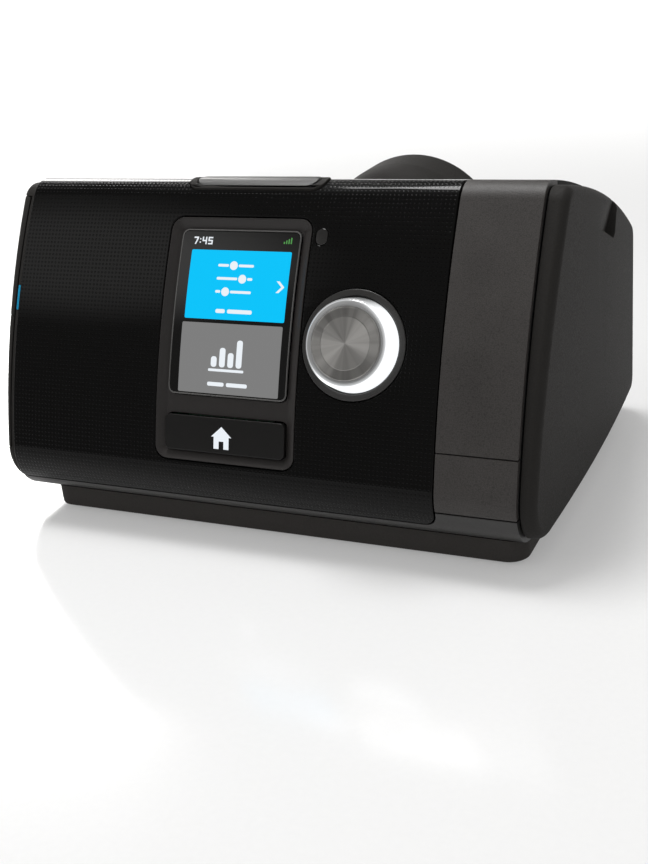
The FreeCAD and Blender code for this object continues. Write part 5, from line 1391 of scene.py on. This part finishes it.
@dataclass
class FrontPanel:
    """Glossy panel with its grid of fine pits, and the window of the light sensor."""

    finishes: Finishes
    edge: float = 0.45
    sensor_edge: float = 0.3

    def build(self) -> None:
        """Build and dress the panel and the window."""
        panel = refined("front_fascia", "front_panel", self.edge, 3)
        self._lay_surface(panel)
        dress(panel, Body.ROOT, Slot.FASCIA, self.finishes.dots, replaces=("front_fascia",))
        refit("light_sensor_lens", "sensor_window", Body.ROOT, Slot.LENS, self.finishes.sensor,
              self.sensor_edge, 3)

    @staticmethod
    def _lay_surface(panel: Piece) -> None:
        """Give the panel a UV map that runs along the bowed surface.

        Args:
            panel: The panel.
        """
        places = np.empty(len(panel.data.vertices) * 3)
        panel.data.vertices.foreach_get("co", places)
        places = places.reshape(-1, 3) / MM
        samples, rises, normals = (path[::4] for path in (PROFILE.points, PROFILE.rises, PROFILE.normals))
        gaps = ((places[:, None, 1:] - samples[None]) ** 2).sum(axis=2)
        best = gaps.argmin(axis=1)
        tangent = np.stack([normals[best][:, 1], -normals[best][:, 0]], axis=1)
        along = rises[best] + ((places[:, 1:] - samples[best]) * tangent).sum(axis=1)
        lay_uv(panel, lambda at: (places[at, 0] * MM, along[at] * MM))


class Signs:
    """Plain signs of the display, as outlines in screen coordinates."""

    CORNERS = {
        "7": ((0.0, 0.80), (0.70, 0.80), (0.24, 0.0), (0.52, 0.0), (1.0, 0.78), (1.0, 1.0), (0.0, 1.0)),
        "4": ((0.0, 0.40), (0.73, 0.40), (0.73, 0.0), (1.0, 0.0), (1.0, 1.0), (0.73, 1.0), (0.73, 0.58),
              (0.27, 0.58), (0.27, 1.0), (0.0, 1.0)),
        "5": ((0.0, 0.42), (0.73, 0.42), (0.73, 0.18), (0.0, 0.18), (0.0, 0.0), (1.0, 0.0), (1.0, 0.60),
              (0.27, 0.60), (0.27, 0.82), (1.0, 0.82), (1.0, 1.0), (0.0, 1.0)),
        "house": ((0.0, 1.0), (-1.0, 0.10), (-0.74, 0.10), (-0.74, -0.95), (-0.24, -0.95), (-0.24, -0.28),
                  (0.24, -0.28), (0.24, -0.95), (0.74, -0.95), (0.74, 0.10), (1.0, 0.10)),
        "arrow": ((-0.975, -1.95), (0.125, -1.95), (2.075, 0.0), (0.125, 1.95), (-0.975, 1.95), (0.975, 0.0)),
    }
    DIGIT = (1.75, 2.6)
    DIGIT_STEPS = (0.0, 3.3, 5.6)
    COLON_STEP, COLON_SIZE, COLON_RISES = 2.25, 0.5, (0.45, 1.6)
    KNOB_RADIUS, KNOB_GAP, KNOB_SHARES = 1.5, 0.4, (0.28, 0.72, 0.44)
    COLUMN_HEIGHTS, BASE_WIDTH, BASE_GAP = (3.6, 6.6, 5.0, 9.4), 13.6, 0.6
    LINE, CAPTION_LINE = 0.9, 1.35

    @classmethod
    def drawn(cls, mark: str, u: float, v: float, size: Point2 = (1.0, 1.0)) -> Loop:
        """Outline of a mark, made as wide and high as given and put at a place."""
        return [(u + x * size[0], v + y * size[1]) for x, y in cls.CORNERS[mark]]

    @staticmethod
    def bar(u: float, v: float, width: float, height: float) -> Loop:
        """Bar with rounded ends, from its lower left corner."""
        return rounded_loop((u, u + width), (v, v + height), min(width, height) * 0.4, 3)

    @classmethod
    def clock(cls, u: float, v: float) -> list[Loop]:
        """Time of day.

        Args:
            u: Its left end.
            v: Its foot.

        Returns:
            Its outlines.
        """
        places = zip("745", cls.DIGIT_STEPS)
        hour, *minutes = (cls.drawn(mark, u + step, v, cls.DIGIT) for mark, step in places)
        left, size = u + cls.COLON_STEP, cls.COLON_SIZE
        return [hour, *(cls.bar(left, v + rise, size, size) for rise in cls.COLON_RISES), *minutes]

    @classmethod
    def sliders(cls, u: float, v: float, width: float = 13.6, spacing: float = 4.5) -> list[Loop]:
        """Three sliding controls with round knobs.

        Args:
            u: Their middle across.
            v: Their middle upwards.
            width: Their length.
            spacing: Distance from one to the next.

        Returns:
            Their outlines.
        """
        loops = []
        left, right, clear = u - width / 2, u + width / 2, cls.KNOB_RADIUS + cls.KNOB_GAP
        for row, share in enumerate(cls.KNOB_SHARES):
            level, knob = v + (row - 1) * spacing, u + (share - 0.5) * width
            loops.append(oval_loop((knob, level), (cls.KNOB_RADIUS, cls.KNOB_RADIUS), 32))
            for start, end in ((left, knob - clear), (knob + clear, right)):
                loops.append(cls.bar(start, level - cls.LINE / 2, end - start, cls.LINE))
        return loops

    @classmethod
    def columns(cls, u: float, v: float, pitch: float = 3.2, width: float = 2.2) -> list[Loop]:
        """Rising columns on a base line.

        Args:
            u: Their middle across.
            v: Foot of the base line.
            pitch: Distance from one to the next.
            width: Width of each.

        Returns:
            Their outlines.
        """
        left = u - (pitch * (len(cls.COLUMN_HEIGHTS) - 1) + width) / 2
        foot = v + cls.LINE + cls.BASE_GAP
        heights = enumerate(cls.COLUMN_HEIGHTS)
        columns = [cls.bar(left + pitch * i, foot, width, height) for i, height in heights]
        return columns + [cls.bar(u - cls.BASE_WIDTH / 2, v, cls.BASE_WIDTH, cls.LINE)]

    @classmethod
    def caption(cls, u: float, v: float, widths: Sequence[float], gap: float = 0.9) -> list[Loop]:
        """Row of plain bars that stands for a line of words.

        Args:
            u: Its middle across.
            v: Its foot.
            widths: Widths of the bars.
            gap: Gap between them.

        Returns:
            Their outlines.
        """
        loops, left = [], u - (sum(widths) + gap * (len(widths) - 1)) / 2
        for width in widths:
            loops.append(cls.bar(left, v, width, cls.CAPTION_LINE))
            left += width + gap
        return loops


@dataclass
class Screen:
    """Sunken tray with the dark window, the picture on it and the home key."""

    finishes: Finishes
    window_u: Point2 = (-22.7, 22.7)
    window_v: Point2 = (-19.1, 37.9)
    window_corner: float = 2.5
    window_depth: float = 1.2
    window_thickness: float = 1.6
    window_gap: float = 0.2
    window_edge: float = 0.5
    rim_width: float = 0.5
    rim_lift: float = 0.12
    rim_edge: float = 0.15
    key_u: Point2 = (-23.0, 23.0)
    key_v: Point2 = (-38.3, -26.1)
    key_corner: float = 2.0
    key_gap: float = 0.35
    key_depth: float = 0.2
    key_edge: float = 0.45
    tray_half: Point2 = (26.65, 41.7)
    tray_corner: float = 4.5
    tray_back: float = 3.8
    tray_cuts: Point2 = (-40.5, 41.0)
    tray_edge: float = 0.2
    tray_angle: float = 22.0
    slope: tuple[Point2, ...] = ((0.0, 0.0), (0.35, 0.05), (3.4, 2.0))
    ink_lift: float = 0.04
    ink_root: float = 0.1
    signal: Row = Row(count=4, first=(0.0, 0.35, 0.0), step=(0.85, 0.24, 0.0), block=(0.42, 0.7, 0.12),
                      growth=0.667)
    signal_place: Point2 = (16.6, 32.4)
    house_place: Point2 = (-0.7, -33.1)
    house_size: Point2 = (3.9, 3.9)

    def build(self) -> None:
        """Build and dress the pieces."""
        looks, depth = self.finishes, self.window_depth
        dress(self._tray(), Body.ROOT, Slot.FASCIA, looks.tray, replaces=("screen_tray",))
        refit("home_key", "home_button", Body.HOME_KEY, Slot.FASCIA, looks.key, self.key_edge, 3)
        outline = rounded_loop(self.window_u, self.window_v, self.window_corner)
        window = front_plate("display_window", [outline], depth, depth + self.window_thickness)
        dress(soften(window, self.window_edge, 3, inside="screen_lens"), Body.ROOT, Slot.LENS, looks.gloss,
              replaces=("screen_lens",))
        inner = self._grown(self.window_u, self.window_v, self.window_corner, -self.rim_width)
        rim = front_plate("window_rim", [outline, inner], depth - self.rim_lift, depth + self.rim_width)
        dress(soften(rim, self.rim_edge), Body.ROOT, Slot.LENS, looks.rim)
        self._picture()
        house = Signs.drawn("house", *self.house_place, self.house_size)
        self._ink("home_sign", [house], looks.white_ink, self.key_depth, Body.HOME_KEY)

    def _tray(self) -> Piece:
        """Tray with a sloping border, a flat floor and holes for the window and the key."""
        half_u, half_v = self.tray_half
        rings = [self._grown((-half_u, half_u), (-half_v, half_v), self.tray_corner, -step)
                 for step, _ in reversed(self.slope)]
        holes = [self._grown(self.window_u, self.window_v, self.window_corner, self.window_gap),
                 self._grown(self.key_u, self.key_v, self.key_corner, self.key_gap)]
        points, faces = filled_region([rings[0], *holes], np.arange(*self.tray_cuts, CUT_SPACING), rings[1:])
        insets, depths = zip(*self.slope)

        def depth(u: float, v: float) -> float:
            """Depth of the tray's surface."""
            return float(np.interp(inset_of(u, v, self.tray_half, self.tray_corner), insets, depths))
        floor = front_map(lambda u, v: self.tray_back)
        tray = closed_plate("display_tray", points, faces, front_map(depth), floor)
        return soften(tray, self.tray_edge, angle=self.tray_angle, inside="screen_tray")

    @staticmethod
    def _grown(u: Point2, v: Point2, corner: float, gap: float) -> Loop:
        """Rounded rectangle made larger by a gap."""
        return rounded_loop((u[0] - gap, u[1] + gap), (v[0] - gap, v[1] + gap), corner + gap)

    def _ink(self, name: str, loops: Sequence[Loop], material: Material, depth: float,
             body: Body = Body.ROOT) -> None:
        """Thin lit shape from its outlines, on a surface at a depth."""
        plate = front_plate(name, loops, depth - self.ink_lift, depth + self.ink_root)
        dress(plate, body, Slot.DISPLAY, material)

    def _picture(self) -> None:
        """Generic start picture: two tiles with plain signs, a clock and four bars."""
        looks = self.finishes
        glass, tile = self.window_depth, self.window_depth - self.ink_lift
        inks = (
            ("tile_upper", [rounded_loop((-18.2, 19.9), (7.0, 30.7), 0.5, 4)], looks.blue_ink, glass),
            ("tile_lower", [rounded_loop((-18.8, 19.6), (-18.2, 5.7), 0.5, 4)], looks.grey_ink, glass),
            ("sliders_sign", Signs.sliders(-0.4, 21.0), looks.white_ink, tile),
            ("sliders_caption", Signs.caption(0.6, 9.2, (3.6, 9.4)), looks.white_ink, tile),
            ("columns_sign", Signs.columns(-0.6, -10.6), looks.white_ink, tile),
            ("columns_caption", Signs.caption(0.2, -15.6, (6.4, 8.0)), looks.white_ink, tile),
            ("arrow_upper", [Signs.drawn("arrow", 16.6, 18.8)], looks.white_ink, tile),
            ("clock_sign", Signs.clock(-18.0, 32.6), looks.white_ink, glass),
        )
        for ink in inks:
            self._ink(*ink)
        level = PROFILE.screen_level + self.signal_place[1] * SCREEN_AXES.up.z
        axes = front_axes(SCREEN_X + self.signal_place[0], level)
        row = self.signal.make("signal_bars", looks.green_ink, axes.point(0.0, 0.0, -glass),
                               axes.turn().to_euler())
        self._lay_flat(row, axes)
        dress(row, Body.ROOT, Slot.DISPLAY, looks.green_ink)

    @staticmethod
    def _lay_flat(thing: Piece, axes: Axes) -> None:
        """Give a small flat piece a UV map along its frame."""
        offsets = [vertex.co - axes.origin * MM for vertex in thing.data.vertices]
        lay_uv(thing, lambda at: (offsets[at].dot(axes.right), offsets[at].dot(axes.up)))


@dataclass
class Dial:
    """Push-and-turn dial with its skirt of painted light, spun face and ring."""

    finishes: Finishes
    foot_radius: float = 15.4
    foot_chamfer: float = 0.15
    top_radius: float = 14.4
    height: float = 6.2
    foot: float = -1.2
    wall: float = 2.0
    wall_levels: int = 8
    wall_ends: Point2 = (0.5, 0.2)
    rim_round: float = 2.0
    rim_step: float = 0.2
    rim_segments: int = 12
    rim_lip: tuple[Point2, ...] = ((-0.12, 0.0), (-0.02, 0.05))
    face_radius: float = 12.0
    face_height: float = 0.6
    face_dish: float = 0.10
    face_edge: tuple[Point2, ...] = ((-0.7, 0.10), (-0.35, 0.14), (-0.1, 0.26), (0.0, 0.45))
    face_angle: float = 5.0
    disc_radius: float = 8.6
    disc_edge: tuple[Point2, ...] = ((-0.2, 0.05), (0.1, 0.12), (0.3, 0.13))
    collar_edge: float = 0.3

    def build(self) -> None:
        """Build and dress the pieces."""
        looks = self.finishes
        refit("dial_ring", "dial_collar", Body.ROOT, Slot.BUTTON, looks.trim, self.collar_edge, 3)
        dress(soften(self._skirt(), 0.0, inside="dial_skirt"), Body.DIAL, Slot.SKIRT, looks.skirt,
              replaces=("dial_skirt",))
        dress(soften(self._face(), 0.0, angle=self.face_angle), Body.DIAL, Slot.DIAL_METAL, looks.face,
              replaces=("dial_face",))

    def _skirt(self) -> Piece:
        """Hollow cone of milky plastic with a well-rounded rim."""
        lean = (self.foot_radius - self.top_radius) / (self.height - self.foot)
        shoulder = self.height - self.rim_step - self.rim_round
        radius = self.top_radius + self.rim_round * lean - self.rim_round
        outline = [(0.0, self.height)] + [(radius + step, self.height - drop) for step, drop in self.rim_lip]
        for i in range(self.rim_segments + 1):
            angle = math.radians(90 * (1 - i / self.rim_segments))
            outline.append((radius + self.rim_round * math.cos(angle),
                            shoulder + self.rim_round * math.sin(angle)))
        upper, lower = shoulder - self.wall_ends[0], self.foot + self.wall_ends[1]
        for level in np.linspace(upper, lower, self.wall_levels):
            outline.append((self.top_radius + (self.height - level) * lean, float(level)))
        ceiling = self.height - self.wall
        outline += [(self.foot_radius - self.foot_chamfer, self.foot),
                    (self.foot_radius - self.wall, self.foot),
                    (self.top_radius - self.wall, ceiling), (0.0, ceiling)]
        return turned("dial_cone", DIAL_AXES, outline)

    def _face(self) -> Piece:
        """Metal disc with a bevelled middle and a rounded edge."""
        top = self.height + self.face_height
        outline = [(0.0, top - self.face_dish)]
        outline += [(self.disc_radius + step, top - drop) for step, drop in self.disc_edge]
        outline += [(self.face_radius + step, top - drop) for step, drop in self.face_edge]
        return turned("dial_disc", DIAL_AXES, outline + [(self.face_radius, self.height), (0.0, self.height)])


@dataclass
class StartButton:
    """Pill-shaped button on the crest."""

    finishes: Finishes
    edge: float = 0.5

    def build(self) -> None:
        """Build and dress the button."""
        refit("start_button", "start_key", Body.START_BUTTON, Slot.BUTTON, self.finishes.button, self.edge, 3)


@dataclass
class Interior:
    """Inner solids that keep their shape and get a finish."""

    finishes: Finishes

    def build(self) -> None:
        """Give each node of the frame its material."""
        looks = self.finishes
        groups = (
            (looks.case, "hinge_pins filter_cover"),
            (looks.inner, "front_carrier bay_liner blower_cradle muffler_box outlet_gallery flow_riser "
                          "card_slot adapter_connector dial_encoder dial_plunger home_switch start_switch "
                          "heater_insulator"),
            (looks.pale, "impeller volute_lower volute_upper display_module"),
            (looks.steel, "dial_shaft motor_bearings motor_shaft heater_springs motor_rotor motor_stator "
                          "tub_plate heater_plate"),
            (looks.tub, "tub_base tub_lid"),
            (looks.rubber, "tub_seal"),
            (looks.foam, "muffler_foam"),
            (looks.felt, "air_filter"),
            (looks.board, "main_board"),
            (looks.chip, "board_chips flow_sensor memory_card"),
        )
        for material, nodes in groups:
            for name in nodes.split():
                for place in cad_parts[name].material_slots:
                    place.material = material
            log.info("%s on %s", material.name, nodes)


# ---------------------------------------------------------------- studio
@dataclass(frozen=True)
class Patch:
    """Soft bright patch of the room, mirrored in glossy surfaces; its radii are in degrees."""

    towards: Point3
    inner: float
    outer: float
    strength: float


@dataclass(frozen=True)
class Lamp:
    """Rectangular soft lamp that points at the machine, in metres and watts."""

    name: str
    place: Point3
    size: Point2
    power: float
    mirrored: bool = False
    target: Point3 = (0.0, 0.0, 0.05)

    def hang(self) -> None:
        """Put the lamp into the scene."""
        data = bpy.data.lights.new(self.name, "AREA")
        data.shape = "RECTANGLE"
        data.size, data.size_y = self.size
        data.energy = self.power
        lamp = linked(self.name, data)
        lamp.location = self.place
        lamp.rotation_euler = (Vector(self.target) - Vector(self.place)).to_track_quat("-Z", "Y").to_euler()
        lamp.visible_glossy = self.mirrored


@dataclass
class Studio:
    """Floor, lamps, surroundings and camera; angles in degrees, lengths in metres."""

    camera_place: Point3 = (0.2003, -0.4057, 0.2068)
    yaw: float = 27.1
    pitch: float = 24.4
    roll: float = -6.09
    focal_pixels: float = 1264.4
    principal: Point2 = (322.4, 452.9)
    picture: Point2 = (648.0, 864.0)
    sensor: float = 36.0
    room: float = 0.10
    fill: float = 0.48
    room_colour: Point3 = (1.0, 0.99, 0.975)
    low_band: Point2 = (0.12, 0.24)
    high_band: Point2 = (0.58, 0.68)
    left_edge: Point2 = (-0.52, -0.46)
    rear_edge: Point2 = (-0.05, 0.35)
    patches: tuple[Patch, ...] = (
        Patch((-0.24, -0.06, 0.96), 6.0, 26.0, 0.22),
        Patch((-0.58, -0.60, 0.55), 2.0, 12.0, 1.30),
        Patch((0.0, -0.90, 0.40), 10.0, 60.0, 0.20),
        Patch((0.93, -0.35, 0.08), 4.0, 24.0, 0.90),
        Patch((-0.585, 0.69, 0.43), 6.0, 10.0, 9.0),
    )
    lamps: tuple[Lamp, ...] = (
        Lamp("overhead", (-0.20, 0.22, 1.20), (0.42, 0.42), 10.5, mirrored=True),
        Lamp("left_side", (-1.1, -0.45, 0.75), (0.7, 0.9), 2.5),
    )
    floor_half: float = 6.0
    floor_level: float = -0.0001
    floor_tones: Point2 = (0.63, 0.66)
    floor_glow: Point2 = (0.27, 0.74)
    floor_reach: Point2 = (0.30, 1.15)

    def build(self) -> None:
        """Build everything round the machine."""
        self._floor()
        self._world()
        for lamp in self.lamps:
            lamp.hang()
        self._camera()

    def _floor(self) -> None:
        """Pale floor that turns white with distance, keeps the shadow and isn't seen from below."""
        half = self.floor_half
        corners = ((-half, -half), (half, -half), (half, half), (-half, half))
        verts = [Vector((*corner, self.floor_level)) for corner in corners]
        floor = new_object("floor", verts, [(0, 1, 2, 3)])
        paint = Paint("floor_paper")
        where = paint.place()
        dark, light = ((tone,) * 3 for tone in self.floor_tones)
        far = paint.spread(paint.vector("LENGTH", where), *self.floor_glow, *self.floor_reach)
        below = paint.add("ShaderNodeNewGeometry").outputs["Backfacing"]
        paint.lay(Base_Color=paint.blend(paint.noise(where, 2.0), dark, light),
                  Emission_Strength=paint.math("MULTIPLY", paint.seen_or_mirrored(), far),
                  Emission_Color=(1.0, 1.0, 1.0, 1.0), Alpha=paint.math("SUBTRACT", 1.0, below),
                  Roughness=0.13, Specular_IOR_Level=0.5)
        floor.data.materials.append(paint.material)

    def _world(self) -> None:
        """Room: white behind the machine, low down and higher at the left, and dim with patches elsewhere."""
        world = bpy.data.worlds.new("studio_room")
        world.use_nodes = True
        room = NodeTree(world.node_tree)
        towards = room.add("ShaderNodeTexCoord").outputs["Generated"]
        sides = room.parts(towards)
        low = room.spread(sides["Z"], 1.0, 0.0, *self.low_band)
        high_left = room.math("MULTIPLY", room.spread(sides["Z"], 1.0, 0.0, *self.high_band),
                              room.spread(sides["X"], 1.0, 0.0, *self.left_edge))
        behind = room.math("MULTIPLY", room.math("MAXIMUM", low, high_left),
                           room.spread(sides["Y"], 0.0, 1.0, *self.rear_edge))
        bright = room.math("MULTIPLY_ADD", behind, 1.0 - self.room, self.room)
        for patch in self.patches:
            near = room.vector("DOT_PRODUCT", towards, Vector(patch.towards).normalized())
            outer, inner = (math.cos(math.radians(angle)) for angle in (patch.outer, patch.inner))
            bright = room.math("ADD", bright, room.spread(near, 0.0, patch.strength, outer, inner))
        bright = room.math("MAXIMUM", bright, room.add("ShaderNodeLightPath").outputs["Is Camera Ray"])
        inputs = {"Factor": room.seen_or_mirrored(), "A": self.fill, "B": bright}
        strength = room.add("ShaderNodeMix", inputs, data_type="FLOAT").outputs["Result"]
        inputs = {"Strength": strength, "Color": (*self.room_colour, 1.0)}
        background = room.add("ShaderNodeBackground", inputs)
        room.add("ShaderNodeOutputWorld", {"Surface": background.outputs[0]})
        bpy.context.scene.world = world

    def _camera(self) -> None:
        """Camera that looks down on the front from the right."""
        yaw, pitch, roll = (math.radians(angle) for angle in (self.yaw, self.pitch, self.roll))
        ahead = Vector((-math.sin(yaw) * math.cos(pitch), math.cos(yaw) * math.cos(pitch), -math.sin(pitch)))
        right = Vector((math.cos(yaw), math.sin(yaw), 0.0))
        up = right.cross(ahead)
        tilted_right = right * math.cos(roll) + up * math.sin(roll)
        tilted_up = up * math.cos(roll) - right * math.sin(roll)
        data = bpy.data.cameras.new("camera")
        data.sensor_width = self.sensor
        data.sensor_fit = "AUTO"
        width, height = self.picture
        data.lens = self.focal_pixels / height * self.sensor
        data.shift_x = (width / 2 - self.principal[0]) / height
        data.shift_y = (self.principal[1] - height / 2) / height
        data.clip_start = 0.01
        camera = linked("camera", data)
        turn = Matrix((tilted_right, tilted_up, -ahead)).transposed().to_4x4()
        camera.matrix_world = Matrix.Translation(self.camera_place) @ turn
        bpy.context.scene.camera = camera


def main() -> None:
    """Build the machine and the studio."""
    logging.basicConfig(level=logging.INFO, format="%(name)s: %(message)s")
    bpy.context.scene.view_settings.view_transform = "Standard"
    looks = Finishes()
    assemblies = (Housing, Rear, FrontPanel, Screen, Dial, StartButton, Interior)
    for part in (*(assembly(looks) for assembly in assemblies), Studio()):
        log.info("building %s", type(part).__name__)
        part.build()


if __name__ == "__main__":
    main()
